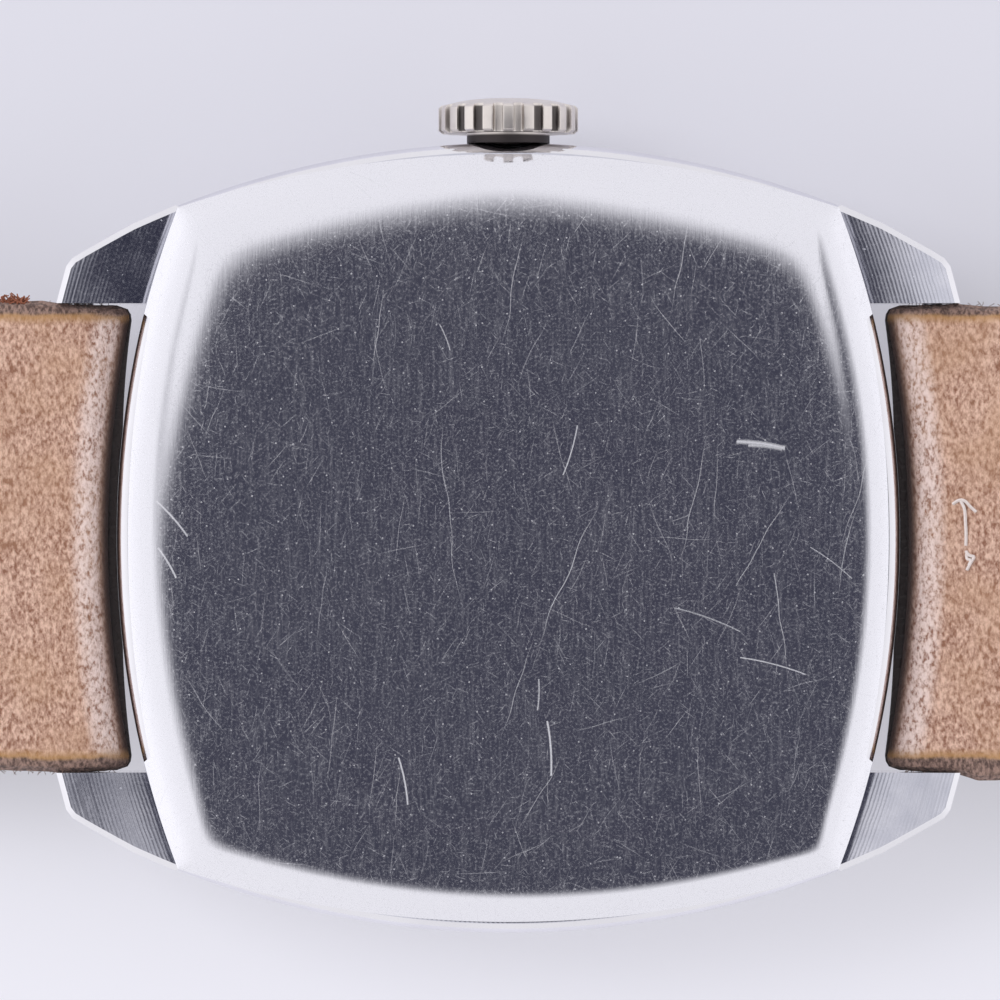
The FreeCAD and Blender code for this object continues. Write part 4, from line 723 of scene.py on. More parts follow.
COVER_X = 15.05
COVER_Y = 14.75
COVER_CORNER = 12.7
TRIM_X = 14.6
TRIM_R = 41.93
MITRE_POWER = 3.2
BACK_FLAT = 8.2
STEEPEST = 42.0
SHOULDER_WIDTH = 9.5
STATIONS = [0.025]
while STATIONS[-1] < SHOULDER_WIDTH:
    STATIONS.append(STATIONS[-1] * 1.24 + 0.012)


def shoulder_tilt(inset):
    """Slope of the shoulder in degrees, at a distance in from the rim."""
    return max(0.0, min(STEEPEST, 90 / (1 + (inset / 0.35) ** 1.35) - 1))


shoulder = []
for outer, inner in zip([0.0] + STATIONS, STATIONS):
    shoulder.append((inner, (inner - outer) * math.tan(math.radians(shoulder_tilt((outer + inner) / 2)))))
WALL_TOP = BACK_FLAT - sum(rise for _, rise in shoulder)

cover = cushion(COVER_X, COVER_Y, COVER_CORNER, MIDDLE_BACK, WALL_TOP)
pick(cover, "faces", lambda at, normal: normal.z > 0.9)
climb(shoulder, COVER_X)
bpy.ops.object.mode_set(mode="OBJECT")

# the press leaves the mitre sharp only near the rim: the height follows a soft minimum of the four insets
inward = np.array([0.0] + STATIONS + [30.0])
upward = np.cumsum([0.0] + [rise for _, rise in shoulder] + [0.0])
for point in cover.data.vertices:
    at = point.co / MM
    if at.z < WALL_TOP + 0.001:
        continue
    insets = []
    for apex, to_side, to_end in ((COVER_X, at.x, at.y), (COVER_Y, at.y, at.x)):
        radius = side_radius(apex, COVER_CORNER)
        for sense in (1, -1):
            away = math.hypot(to_side - sense * (apex - radius), to_end)
            insets.append(max(radius - away, 1e-4))
    soft = sum(inset ** -MITRE_POWER for inset in insets) ** (-1 / MITRE_POWER)
    point.co.z = (WALL_TOP + np.interp(soft, inward, upward)) * MM
# the room for the middle's rim and for the movement
carve(cover, disc(13.51, MIDDLE_BACK - 1, MIDDLE_BACK + 0.8, vertices=256))
carve(cover, disc(13.0, MIDDLE_BACK - 2, 7.65, vertices=256))
# between the lugs the cover is cut back to a wide arc, to clear the straps
for side in (1, -1):
    trim = block((13.0, 17.0) if side > 0 else (-17.0, -13.0), (-8.75, 8.75), (5, 9))
    carve(trim, disc(TRIM_R, 4, 10, (side * (TRIM_X - TRIM_R), 0), vertices=1440))
    for end in (1, -1):
        bisect(trim, (side * 13.75, end * 8.4, 0), (-side * 0.3, end * 0.35, 0))
    carve(cover, trim)


def strokes(finish, spot, size, width, heading, spread, share, shift):
    """Short scratches, at most one to a cell of a size, each as bright as chance makes it."""
    bend = finish.node("TexNoise", {}, {"Vector": spot, "Scale": 0.45, "Detail": 1.0}, "Color")
    moved = finish.vector("ADD", spot, (shift, shift * 1.7, 0))
    moved = finish.vector("ADD", moved, finish.scaled(bend, 0.25 + size * 0.05))
    moved = finish.scaled(moved, 1 / size)
    cell = {"Vector": moved, "Scale": 1.0, "Randomness": 1.0}
    middle = finish.node("TexVoronoi", {"voronoi_dimensions": "2D"}, cell, "Position")
    chance = Signal(finish, middle.socket.node.outputs["Color"])
    turn = (finish.axis(chance, 0) - 0.5) * spread + heading
    local = {"Vector": finish.vector("SUBTRACT", moved, middle), "Angle": turn}
    line = finish.node("VectorRotate", {"rotation_type": "Z_AXIS"}, local)
    off = abs(finish.axis(line, 0)) * size
    reach = abs(finish.axis(line, 1))
    long = 0.12 + finish.axis(chance, 2) * 0.38
    body = (1.0 - off / width).clipped() * ((long - reach) * (1.5 / long)).clipped()
    deep = finish.math("POWER", finish.axis(chance, 2), 2.0)
    return body * (finish.axis(chance, 1) < share) * (0.2 + deep * 0.8)


# each layer of scratches: size and width, heading and its spread, share of cells, shift, strength
LAYERS = [
    (6.5, 0.026, 0.15, 0.7, 0.8, 3.1, 0.55),
    (4.4, 0.024, 0.05, 0.9, 0.8, 11.7, 0.42),
    (3.0, 0.024, -0.1, 1.4, 0.9, 23.9, 0.30),
    (2.1, 0.022, 0.1, 1.6, 0.9, 31.3, 0.26),
    (1.5, 0.022, 0.0, 2.2, 1.0, 37.3, 0.24),
    (1.0, 0.022, 0.1, 2.6, 1.0, 51.1, 0.24),
    (0.6, 0.020, 0.0, 3.1, 1.0, 61.1, 0.24),
    (0.4, 0.020, 0.0, 3.1, 1.0, 83.3, 0.24),
    (2.6, 0.024, 1.4, 1.2, 0.6, 67.5, 0.30),
    (1.7, 0.022, 0.3, 0.8, 1.0, 91.9, 0.26),
]
scratched = Finish("scratched_cover", {})
spot = scratched.place()
marks = 0.0
for *layer, strength in LAYERS:
    marks = strokes(scratched, spot, *layer) * strength + marks

# the deepest scratches, one by one: both ends, width and strength
GOUGES = [
    ((8.75, 3.75), (10.6, 3.5), 0.11, 0.75), ((9.2, 3.6), (10.5, 3.45), 0.1, 0.6),
    ((-4.15, -8.4), (-3.8, -10.2), 0.045, 0.9), ((1.55, -7.0), (1.7, -9.1), 0.05, 0.9),
    ((2.7, 4.3), (2.15, 2.4), 0.035, 0.7), ((8.9, -4.5), (11.4, -5.15), 0.035, 0.7),
    ((-13.45, 1.45), (-12.25, 0.1), 0.05, 0.65), ((-13.4, -0.35), (-12.7, -1.5), 0.05, 0.65),
    ((-6.1, 14.1), (-4.8, 13.5), 0.03, 0.5), ((-6.0, 13.7), (-5.2, 13.0), 0.03, 0.5),
    ((11.6, -0.3), (13.2, -1.5), 0.03, 0.45), ((6.4, -2.6), (8.9, -3.5), 0.04, 0.4),
    ((1.2, -5.4), (1.15, -6.6), 0.04, 0.6), ((-2.6, 8.2), (-2.2, 7.2), 0.03, 0.5),
]
for start, end, width, strength in GOUGES:
    run = Vector(end) - Vector(start)
    moved = scratched.vector("SUBTRACT", spot, ((start[0] + end[0]) / 2, (start[1] + end[1]) / 2, 0))
    level = {"Vector": moved, "Angle": -math.atan2(run.y, run.x)}
    line = scratched.node("VectorRotate", {"rotation_type": "Z_AXIS"}, level)
    bow = scratched.axis(line, 0)
    off = abs(scratched.axis(line, 1) + bow * bow * (0.12 / run.length)) / width
    inside = (1.0 - off).clipped() * (abs(bow) < run.length / 2)
    marks = scratched.math("MAXIMUM", marks, inside * strength)

dots = scratched.node("TexVoronoi", {"voronoi_dimensions": "2D"}, {"Vector": spot, "Scale": 0.95})
pits = (1.0 - dots / 0.04).clipped() * 0.6
cloud = scratched.grain(spot, 0.16, 4.0, 0.6)
fine = scratched.grain(spot, 11.0, 3.0, 0.7)
hairs = scratched.grain(scratched.place(turn=(0, 0, 0.15), stretch=(1, 0.08, 1)), 9.0, 3.0, 0.7)
haze = scratched.ramp(hairs, 0.45, 0.8) * 0.08 + scratched.ramp(fine, 0.48, 0.75) * 0.19 + cloud * 0.02
dullness = (marks + pits + haze).clipped()
scratched.colour(dullness, shade(236, 236, 242), shade(206, 206, 212))
scratched.feed("Metallic", 1.0 - dullness)
scratched.feed("Roughness", 0.05 + fine * 0.05 + dullness * 0.3)
scratched.relief(hairs + cloud * 3.0, 0.003, 0.3)

settle(cover, "case_back_piece", scratched, 26)
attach(cover, "watch_case")
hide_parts("case_back")

# ---- Crown ----
# Brass with warm nickel plate, turned with a low dome and a neck, and slotted all round to give the
# fingers a grip. It is fixed on the end of the stem, and its neck slides over the tube in the case.

FLUTES = 21
NECK_END = 15.24
SHOULDER = 15.62
neck_and_rim = [
    (0, NECK_END), (1.6, NECK_END), (1.6, SHOULDER),
    (2.58, SHOULDER), (2.7, 15.72), (2.7, 16.58), (2.6, 16.68),
]
dome = arc(2.6, 16.68, 0, 16.95, -0.12, 10)
crown = lathe(neck_and_rim + dome, 252, (0, 0, STEM_Z), (0, 1, 0))
slots = []
for flute in range(FLUTES):
    slot = block((-0.2, 0.2), (14.9, 17.3), (STEM_Z + 2.44, STEM_Z + 3.2))
    pick(slot, "edges", lambda at, run: at.z < STEM_Z + 2.5 and abs(run.y) > 1)
    bpy.ops.mesh.bevel(offset=0.12 * MM, segments=3, affect="EDGES")
    bpy.ops.mesh.select_all(action="SELECT")
    turn = -math.radians((flute + 0.5) * 360 / FLUTES)
    bpy.ops.transform.rotate(value=turn, orient_axis="Y", center_override=(0, 0, STEM_Z * MM))
    bpy.ops.object.mode_set(mode="OBJECT")
    slots.append(slot)
bpy.ops.object.select_all(action="DESELECT")
for slot in slots:
    slot.select_set(True)
bpy.context.view_layer.objects.active = slots[0]
bpy.ops.object.join()
carve(crown, slots[0])
carve(crown, disc(1.3, 14, 16.13, (0, STEM_Z), "Y", 96))
carve(crown, disc(0.45, 14, 16.4, (0, STEM_Z), "Y", 48))
round_edges(crown, 0.045, 2, 35)

worn_nickel = Finish("worn_nickel", METAL)
spot = worn_nickel.place()
cloud = worn_nickel.grain(spot, 1.6, 4.0, 0.6)
height = worn_nickel.axis(spot, 1)
radius = worn_nickel.radius(worn_nickel.place(centre=(0, 0, STEM_Z)), (1, 0, 1))
# painted shade: the neck, and the crown tube that shares this finish, are painted near black where they lie
# in shade against the case. The slots are painted darker, most on the crown's sides, where they mirror the
# dark. Only the cloudy spots are grime
neck = 1.0 - worn_nickel.ramp(height, 15.5, 15.61)
in_slot = (1.0 - worn_nickel.ramp(radius, 2.56, 2.66)) * worn_nickel.ramp(height, 15.63, 15.68)
in_slot = in_slot * (1.0 - worn_nickel.ramp(height, 16.58, 16.66))
aside = abs(worn_nickel.axis(spot, 0))
side_on = worn_nickel.ramp(aside, 0.7, 1.1) * (1.0 - worn_nickel.ramp(aside, 2.0, 2.3))
grime_and_painted_shade = (neck * 0.95 + in_slot * (0.25 + side_on * 0.6) + worn_nickel.ramp(cloud, 0.6, 0.75) * 0.2).clipped()
bright = worn_nickel.blend(cloud, shade(214, 206, 200), shade(240, 234, 228))
worn_nickel.colour(grime_and_painted_shade, bright, shade(62, 56, 58))
worn_nickel.feed("Roughness", 0.3 + cloud * 0.16 + grime_and_painted_shade * 0.2)
worn_nickel.relief(cloud, 0.02, 0.4)
wear(worn_nickel, "crown_tube")
settle(crown, "crown_piece", worn_nickel, 30)
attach(crown, "stem")
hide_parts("crown")

# ---- Spring bars ----
# A steel tube with a spring inside and a shouldered tip at each end, which sits in a blind hole in the
# lug. The strap's nose is folded round the tube.

bar_steel = ground("bar_steel", shade(150, 150, 156), shade(196, 196, 202), (0, 0, 0), 0.24)
wear(
    bar_steel, "spring_bar_tubes", "bar_tip_12_crown_side", "bar_tip_12_far_side",
    "bar_tip_6_crown_side", "bar_tip_6_far_side",
)

# ---- Strap ----
# Two halves of calf leather, each an outer layer glued to a suede lining, skived thin and folded round
# the spring bar. The edges are burnished dark. Where the lining curves to the nose it is paler and shinier,
# partly wear and partly painted highlight, and at the nose both layers are painted dark as painted shade.

HALF_WIDTH = 9.0
END_HALF = 8.0
TAPER_FROM = 18.0
NOSE_CORNER = 0.65
NOSE_REACH, NOSE_HOLLOW = 0.95, 84.6
EDGE_ROUND = 0.34
BUCKLE_BAR = (90, 4.4)


def curve_height(points, end, x):
    """Height of a strap surface: a smooth bend through the points, then straight to the end."""
    xs = np.array([p[0] for p in points])
    zs = np.array([p[1] for p in points])
    spans = np.diff(xs)
    rates = np.diff(zs) / spans
    final = (end[1] - zs[-1]) / (end[0] - xs[-1])
    inner = (rates[:-1] * spans[1:] + rates[1:] * spans[:-1]) / (spans[1:] + spans[:-1])
    slopes = np.concatenate([[0.0], inner, [final]])
    span = np.clip(np.searchsorted(xs, x) - 1, 0, len(spans) - 1)
    width = spans[span]
    t = np.clip((x - xs[span]) / width, 0, 1)
    smooth = (
        zs[span] * (2 * t ** 3 - 3 * t ** 2 + 1) + slopes[span] * width * (t ** 3 - 2 * t ** 2 + t)
        + zs[span + 1] * (3 * t ** 2 - 2 * t ** 3) + slopes[span + 1] * width * (t ** 3 - t ** 2)
    )
    return np.where(x > xs[-1], zs[-1] + (x - xs[-1]) * final, smooth)


def strap_layer(low, low_end, high, high_end, tail, counts, spread, round_top):
    """One layer of leather: a grid given thickness, then pulled to the strap's plan and side view."""
    bpy.ops.object.select_all(action="DESELECT")
    bpy.ops.mesh.primitive_grid_add(x_subdivisions=counts[0], y_subdivisions=counts[1], size=1)
    piece = bpy.context.object
    bpy.context.tool_settings.mesh_select_mode = (False, False, True)
    bpy.ops.object.mode_set(mode="EDIT")
    bpy.ops.mesh.select_all(action="SELECT")
    levels = [math.sin(math.pi / 2 * step / 8) for step in range(9)]
    for start, end in zip(levels, levels[1:]):
        pull(0, 0, (end - start) / MM)
    bpy.ops.object.mode_set(mode="OBJECT")
    mesh = piece.data
    grid = np.empty(len(mesh.vertices) * 3)
    mesh.vertices.foreach_get("co", grid)
    along, across, up = grid.reshape(-1, 3).T
    along = along + 0.5
    across = np.sin(across * math.pi * 0.82) / math.sin(math.pi * 0.41)
    side = np.abs(across)
    # the nose is round about the bar, hollow in plan, and round at its corners
    from_edge = HALF_WIDTH * (1 - side)
    corner = NOSE_CORNER - np.sqrt(NOSE_CORNER ** 2 - np.clip(NOSE_CORNER - from_edge, 0, NOSE_CORNER) ** 2)
    nose_low = low[0][1] + (high[0][1] - low[0][1]) * up - BAR.z
    out = (HALF_WIDTH * side) ** 2
    if round_top:
        reach = NOSE_REACH + out / NOSE_HOLLOW
    else:
        reach = 1.265 + out / 73.5 - 0.09 * np.clip(HALF_WIDTH * side - 4.2, 0, None)
    start_x = BAR.x - reach * np.sqrt(np.clip(1 - (nose_low / 1.1) ** 2, 0, None)) + corner
    finish_x = high_end[0]
    if tail:
        finish_x = finish_x - tail * (1 - np.sqrt(np.clip(1 - side ** 2.3, 0, 1)))
    x = start_x + (finish_x - start_x) * (0.22 * along + 0.78 * along ** 2.6)
    # the sides taper, and spread a little where the strap leaves the lugs
    half = np.interp(x, [TAPER_FROM, high_end[0] - tail], [HALF_WIDTH, END_HALF])
    beyond = np.clip((x - 17.2) / 0.9, 0, 1) * np.clip((34 - x) / 10, 0, 1)
    y = across * half + (np.clip(across, 0, 1) * spread[0] + np.clip(across, -1, 0) * spread[1]) * beyond
    # one face is flat, and the other drops off in a curve at the edge
    bottom = curve_height(low, low_end, x)
    top = curve_height(high, high_end, x)
    rim = np.minimum(half * (1 - side), finish_x - x if tail else HALF_WIDTH)
    over = np.clip(EDGE_ROUND - rim, 0, EDGE_ROUND)
    drop = EDGE_ROUND - np.sqrt(np.clip(EDGE_ROUND ** 2 - over ** 2, 0, None))
    if round_top:
        z = bottom + (top - drop - bottom) * up
    else:
        z = bottom + drop + (top - bottom - drop) * up
    # the cut edge is a little rough
    rough = np.array([noise.noise(Vector(at) * 2.2) for at in zip(x, y, z)])
    fluff = np.array([noise.noise(Vector(at) * 0.6) for at in zip(x, y, z)])
    y = y + np.clip(1 - rim / 0.3, 0, 1) * np.sign(across) * (rough * 0.035 + fluff * 0.07)
    mesh.vertices.foreach_set("co", (np.stack([x, y, z], 1) * MM).ravel())
    mesh.update()
    return piece


LINING_SHARE = 0.58
# each half: lower face and its end, upper face and its end, length of the pointed tail, grid, spread
STRAPS = {
    "12": (
        [(14.2, 3.9), (17.6, 3.85), (22, 3.3), (45, 3.2)], (91.25, 3.3),
        [(14.2, 6.1), (17.6, 6.15), (22, 6.5), (45, 5.95)], (91.25, 5.5), 0.0, (230, 44), (-0.08, 0.3),
    ),
    "6": (
        [(14.2, 3.9), (17.6, 3.8), (22, 3.1), (32, 0.85), (42, 0.0)], (128.0, 0.0),
        [(14.2, 6.1), (17.6, 6.15), (22, 6.2), (32, 4.15), (44, 2.95)], (128.0, 2.1),
        9.0, (300, 44), (0.13, -0.06),
    ),
}


def leather(name):
    """A leather, with the distances from the nose and from the side edges that its colours follow."""
    finish = Finish(name, {"Sheen Weight": 0.12, "Sheen Roughness": 0.5})
    spot = finish.place()
    x = abs(finish.axis(spot, 0))
    y = finish.axis(spot, 1)
    taper = {"From Min": TAPER_FROM, "From Max": 110.0, "To Min": HALF_WIDTH, "To Max": END_HALF}
    rim = finish.node("MapRange", {}, {"Value": x, **taper}) - abs(y) - (y < 0.0) * 0.12
    from_nose = x + y * y / NOSE_HOLLOW - (BAR.x - NOSE_REACH)
    return finish, spot, from_nose, rim


suede, spot, from_nose, rim = leather("suede_lining")
wander = suede.grain(spot, 1.1, 3.0)
mottle = suede.grain(suede.place(turn=(0, 0, 0.9), stretch=(1, 0.6, 1)), 6.5, 3.0, 0.7)
mid = suede.grain(spot, 2.2, 3.0, 0.6)
blotch = suede.grain(spot, 0.35, 3.0)
tan = suede.blend((mottle * 3.4 + mid - 1.7).clipped(), shade(138, 94, 74), shade(226, 190, 170))
tan = suede.blend(suede.ramp(blotch, 0.35, 0.75) * 0.45, tan, shade(190, 150, 118))
# painted highlight with wear: where the lining curves into the nose it is painted paler and made shinier,
# partly rubbed wear and partly a painted highlight
rub_and_highlight = suede.ramp(from_nose, 1.6, 0.9) * suede.ramp(from_nose, 0.2, 0.5)
tan = suede.blend(rub_and_highlight * suede.ramp(mottle, 0.3, 0.62) * 0.85, tan, shade(238, 218, 212))
# painted shade: at the nose itself, where the lining turns away, it is painted dark
nose_shade = 1.0 - suede.ramp(from_nose, 0.06, 0.45)
tan = suede.blend(nose_shade, tan, shade(72, 50, 44))
yellow = suede.ramp(rim + wander * 0.25, 0.95, 0.55)
tan = suede.blend(yellow * 0.8, tan, shade(176, 134, 84))
burnt = suede.ramp(rim + wander * 0.3 + mottle * 0.1, 0.68, 0.5)
brown = suede.blend(suede.ramp(mottle, 0.35, 0.65), shade(84, 64, 58), shade(158, 130, 118))
suede.colour(burnt, tan, brown)
suede.feed("Roughness", 0.86 - rub_and_highlight * 0.25 - burnt * 0.12)
pile = suede.grain(spot, 7.0, 4.0, 0.7)
suede.relief(pile + mottle * 1.6 + blotch, 0.09, 0.6)

calf, spot, from_nose, rim = leather("calf_outer")
cells = calf.node("TexVoronoi", {"feature": "DISTANCE_TO_EDGE"}, {"Vector": spot, "Scale": 2.6})
pores = calf.grain(spot, 5.0, 4.0, 0.7)
blotch = calf.grain(spot, 0.25, 4.0)
brown = calf.blend(calf.ramp(blotch, 0.3, 0.7), shade(78, 48, 30), shade(110, 70, 46))
crease = 1.0 - calf.ramp(abs(rim - 1.3), 0.05, 0.14)
worn = calf.ramp(pores, 0.55, 0.75) * 0.25
brown = calf.blend(worn, brown, shade(140, 98, 68))
burnt = calf.ramp(rim, 0.35, 0.15)
brown = calf.blend(calf.math("MAXIMUM", burnt, crease * 0.7), brown, shade(46, 28, 20))
# painted shade: the outer layer is painted near black at its nose, in the gap between case and strap
brown = calf.blend(1.0 - calf.ramp(from_nose, 0.1, 0.9), brown, shade(34, 24, 23))
calf.feed("Base Color", brown)
calf.feed("Roughness", 0.46 + pores * 0.2 + crease * 0.1)
calf.relief(calf.ramp(cells, 0.0, 0.2) * 0.7 + pores * 0.4 - crease * 1.5, 0.05, 0.7)


def bored(piece, name, finish, body):
    """Cut the holes that both layers share, turn the half to its side, and settle it."""
    carve(piece, disc(0.70, -12, 12, (BAR.x, BAR.z), "Y", 48))
    if body == "strap_12":
        # the slit for the tang, and the loop for the buckle's bar
        carve(piece, block((83.6, 95), (-1, 1), (0, 9)))
        carve(piece, disc(0.75, -12, 12, BUCKLE_BAR, "Y", 48))
    else:
        for hole in range(7):
            carve(piece, disc(1.0, -1, 9, (95 - 6.5 * hole, 0), vertices=40))
        piece.scale.x = -1
    settle(piece, name + "_piece", finish, 40)
    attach(piece, body)
    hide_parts(name)


for hour, (low, low_end, high, high_end, *plan) in STRAPS.items():
    seam = [(lx, lz + (hz - lz) * LINING_SHARE) for (lx, lz), (_, hz) in zip(low, high)]
    seam_end = (low_end[0], low_end[1] + (high_end[1] - low_end[1]) * LINING_SHARE)
    body = "strap_" + hour
    outer = strap_layer(low, low_end, seam, seam_end, *plan, round_top=False)
    bored(outer, body + "_outer", calf, body)
    lining = strap_layer(seam, seam_end, high, high_end, *plan, round_top=True)
    bored(lining, body + "_lining", suede, body)

# ---- Loose fibres ----
# The cut edges of the leather are fuzzy, with a frayed spot on one half, and a bit of white cotton thread
# is caught in the suede of the other.

random.seed(12)


def strands(name, finish, thick, body, runs):
    """Fine strands, each a smooth line through a few points."""
    bpy.ops.object.select_all(action="DESELECT")
    bpy.ops.curve.primitive_nurbs_path_add(location=(0, 0, 0))
    piece = bpy.context.object
    curve = piece.data
    curve.splines.clear()
    for run in runs:
        spline = curve.splines.new("NURBS")
        spline.points.add(len(run) - 1)
        for point, at in zip(spline.points, run):
            point.co = (*(Vector(at) * MM), 1)
        spline.order_u = 3
        spline.use_endpoint_u = True
        spline.resolution_u = 3
    curve.bevel_depth = thick * MM
    curve.bevel_resolution = 0
    bpy.ops.object.convert(target="MESH")
    settle(piece, name, finish, 60)
    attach(piece, body)


for hour, sign in (("12", 1), ("6", -1)):
    runs = []
    for count in range(190):
        x = random.uniform(15.3, 30.0)
        side = random.choice((-1, 1))
        half = HALF_WIDTH - max(x - TAPER_FROM, 0) * 0.0125
        z = random.uniform(5.0, 5.9) if x < 24 else random.uniform(3.9, 4.3)
        out = random.uniform(0.03, 0.16)
        lean = random.uniform(-0.22, 0.22)
        root = Vector((x, side * (half - 0.06), z))
        tip = root + Vector((lean, side * (out + 0.06), random.uniform(-0.05, 0.15)))
        knee = (root + tip) / 2 + Vector((random.uniform(-0.06, 0.06), 0, random.uniform(-0.04, 0.06)))
        runs.append([(sign * at.x, at.y, at.z) for at in (root, knee, tip)])
    strands("strap_" + hour + "_fuzz", suede, 0.011, "strap_" + hour, runs)

rust, _ = clouded("frayed_fibres", {"Roughness": 0.8}, (4.0, 2.0), (92, 44, 30), (186, 120, 92))
runs = []
for count in range(120):
    at = Vector((-random.gauss(19.1, 0.32), random.uniform(8.95, 9.1), random.uniform(5.5, 6.0)))
    run = [at]
    for turn in range(3):
        step = Vector((random.uniform(-0.16, 0.16), random.uniform(-0.06, 0.15), random.uniform(-0.1, 0.12)))
        run.append(run[-1] + step)
    runs.append(run)
strands("frayed_spot", rust, 0.026, "strap_6", runs)

cotton, _ = clouded("cotton_thread", {"Roughness": 0.85}, (9.0, 2.0), (214, 200, 194), (240, 234, 232))
strands("caught_thread", cotton, 0.06, "strap_12", [
    [(17.12, 1.30, 6.14), (17.35, 1.50, 6.24), (17.62, 1.42, 6.26), (17.76, 1.22, 6.22), (18.02, 1.0, 6.2)],
    [(17.40, 1.46, 6.2), (17.58, 1.2, 6.26), (17.6, 0.69, 6.22), (17.64, 0.1, 6.2), (17.62, -0.3, 6.2)],
    [(17.62, -0.5, 6.2), (17.72, -0.7, 6.27), (17.98, -0.7, 6.24), (17.82, -0.92, 6.28), (17.66, -1.24, 6.2)],
    [(17.66, -0.6, 6.2), (17.62, -0.85, 6.28), (17.86, -0.8, 6.28), (17.72, -1.05, 6.24)],
])

# ---- Keepers ----
# Two loops of the same calf leather: one glued and stitched beside the buckle, one free to slide. Each
# is a strip folded round the strap, and the tail passes under it.

KEEPER_WALL = 0.9
KEEPERS = (
    ("fixed_keeper", "strap_12", (79.0, 83.4), 8.26, 5.72),
    ("free_keeper", "keeper", (64.0, 69.0), 8.68, 5.98),
)
for name, body, (x_low, x_high), room_half, room_top in KEEPERS:
    half = room_half + KEEPER_WALL
    loop = block((x_low, x_high), (-half, half), (0, room_top + KEEPER_WALL))
    ease(loop, lambda at, run: abs(run.x) > 1, 0.75, 6)
    room = block((x_low - 1, x_high + 1), (-room_half, room_half), (KEEPER_WALL, room_top))
    ease(room, lambda at, run: abs(run.x) > 1, 0.2, 3)
    carve(loop, room)
    round_edges(loop, 0.16, 3, 50)
    settle(loop, name + "_piece", calf, 40)
    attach(loop, body)
    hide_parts(name)

# ---- Buckle ----
# A frame of polished stainless steel with rounded edges, a bar across its open end and a tang that is
# bent round the bar and rests on the frame.

buckle_polish = ground("buckle_polish", shade(214, 214, 220), shade(236, 236, 240), (0, 0, 0.2), 0.08)
buckle = block((88.7, 101.0), (-10.2, 10.2), (3.6, 5.2))
ease(buckle, lambda at, run: abs(run.z) > 1 and at.x > 100, 2.4, 12)
ease(buckle, lambda at, run: abs(run.z) > 1 and at.x < 89, 0.75, 6)
window = block((80, 98.9), (-8.25, 8.25), (0, 9))
ease(window, lambda at, run: abs(run.z) > 1 and at.x > 98, 0.9, 6)
carve(buckle, window)
round_edges(buckle, 0.3, 4, 40)
carve(buckle, disc(0.7, -9.7, 9.7, BUCKLE_BAR, "Y", 48))
settle(buckle, "buckle_frame_piece", buckle_polish, 35)
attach(buckle, "buckle")
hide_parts("buckle_frame")
wear(buckle_polish, "buckle_bar")

tang = block((90.6, 98.3), (-0.8, 0.8), (3.0, 3.55))
for tip_x, low_z, high_z in ((101.3, 2.75, 3.45), (101.62, 2.95, 3.25)):
    pick(tang, "faces", lambda at, normal: normal.x > 0.9)
    pull(0, 0, 0)
    bpy.ops.object.mode_set(mode="OBJECT")
    for point in tang.data.vertices:
        if point.select:
            point.co.x = tip_x * MM
            point.co.z = (high_z if point.co.z > 3.1 * MM else low_z) * MM
carve(tang, disc(1.38, -0.8, 0.8, BUCKLE_BAR, "Y", 64), "UNION")
carve(tang, disc(0.74, -2, 2, BUCKLE_BAR, "Y", 48))
round_edges(tang, 0.1, 3, 35)
settle(tang, "buckle_tang_piece", buckle_polish, 35)
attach(tang, "tang")
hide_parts("buckle_tang")

# ---- Studio ----
# The watch lies face down on a pale lavender table in a white tent. Straight above it the tent is dark
# round the lens, which is what the flat middle of the cover mirrors.

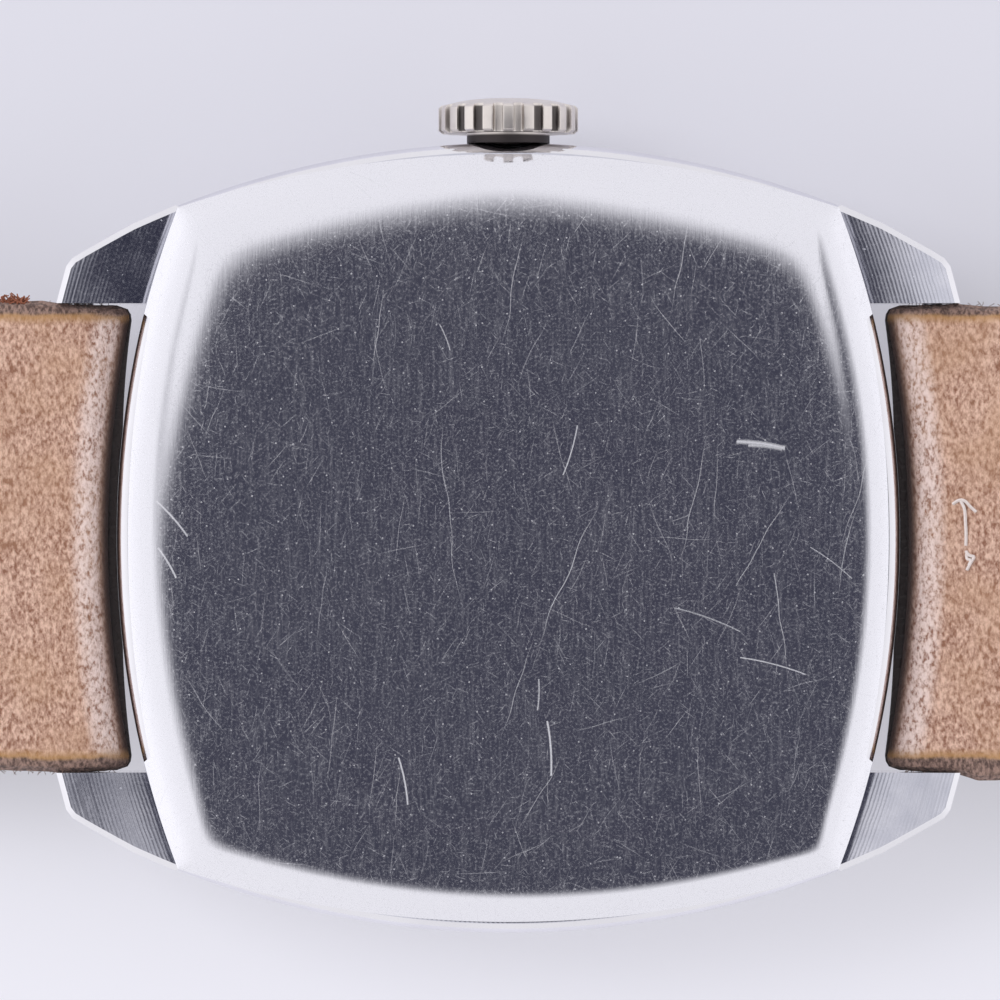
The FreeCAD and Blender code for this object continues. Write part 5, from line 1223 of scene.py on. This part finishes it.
tent = Finish(bpy.context.scene.world or bpy.data.worlds.new("tent"), {"Strength": 1.0})
bpy.context.scene.world = tent.owner
heading = tent.node("TexCoord", {}, {}, "Generated")
x, y, z = (tent.axis(heading, which) for which in range(3))
height = tent.math("MAXIMUM", z, 0.02)
aside = x / height
ahead = y / height
across = (aside - 0.075) / 0.445
along = tent.math("MAXIMUM", ahead / 0.255, ahead / -0.69)
upper = tent.math("MAXIMUM", ahead, 0.0) * abs(aside) * (1.0 - tent.ramp(abs(aside), 0.28, 0.42)) * 25.0
lower = tent.math("MAXIMUM", ahead * -1.0, 0.0) * tent.math("MAXIMUM", aside * -1.0, 0.0) * 2.0
from_dark = tent.math("SQRT", across * across + along * along) + upper + lower
lit = tent.ramp(from_dark, 0.78, 1.25 + tent.math("MAXIMUM", y, 0.0) * 1.9)
bright = 0.93 + x * x * 0.2 - x * 0.05
sky = tent.blend(lit, (0.048, 0.049, 0.074, 1), tent.scaled((1.0, 0.99, 1.02), bright))
seen = tent.node("LightPath", {}, {}, "Is Camera Ray")
tent.feed("Color", tent.blend(seen, sky, shade(222, 221, 230)))

bpy.ops.object.select_all(action="DESELECT")
bpy.ops.mesh.primitive_circle_add(vertices=96, radius=4.0, fill_type="NGON", location=(0.02, 0, -0.00003))
table = bpy.context.object
place_in_mesh()
table.name = "table"
table_top = Finish("table_top", {"Emission Strength": 0.5, "Roughness": 0.7})
spot = table_top.place()
# painted light: the table glows for camera and glossy rays, which lifts the watch's shadow on it. Its colour
# and glow grow paler towards -y
rise = table_top.ramp(table_top.axis(spot, 1), 14.0, -20.0)
wash = table_top.grain(spot, 0.03, 2.0)
table_top.colour(rise, shade(163, 163, 171), shade(171, 171, 178))
pale = table_top.blend(rise, shade(217, 216, 225), shade(238, 237, 244))
path = table_top.node("LightPath", {}, {}, "Is Camera Ray")
glossy = Signal(table_top, path.socket.node.outputs["Is Glossy Ray"])
mirrored = table_top.math("MAXIMUM", path, glossy)
table_top.feed("Emission Color", table_top.blend(mirrored, (0, 0, 0, 1), pale))
table.data.materials.append(table_top.owner)

LAMP = Vector((-0.5, 0.25, 0.6))
bpy.ops.object.light_add(type="AREA", location=LAMP)
lamp = bpy.context.object
lamp.data.size = 0.35
lamp.data.energy = 2.2
lamp.rotation_euler = (-LAMP).to_track_quat("-Z", "Y").to_euler()
lamp.visible_camera = False
lamp.visible_glossy = False

LENS_AT = Vector((-0.32, 1.46, 358.2))
bpy.ops.object.camera_add(location=LENS_AT * MM, rotation=(0, 0, 0))
camera = bpy.context.object
camera.data.sensor_width = 36.0
camera.data.lens = 329.0
camera.data.clip_start = 0.01
bpy.context.scene.camera = camera
bpy.context.scene.view_settings.view_transform = "Standard"
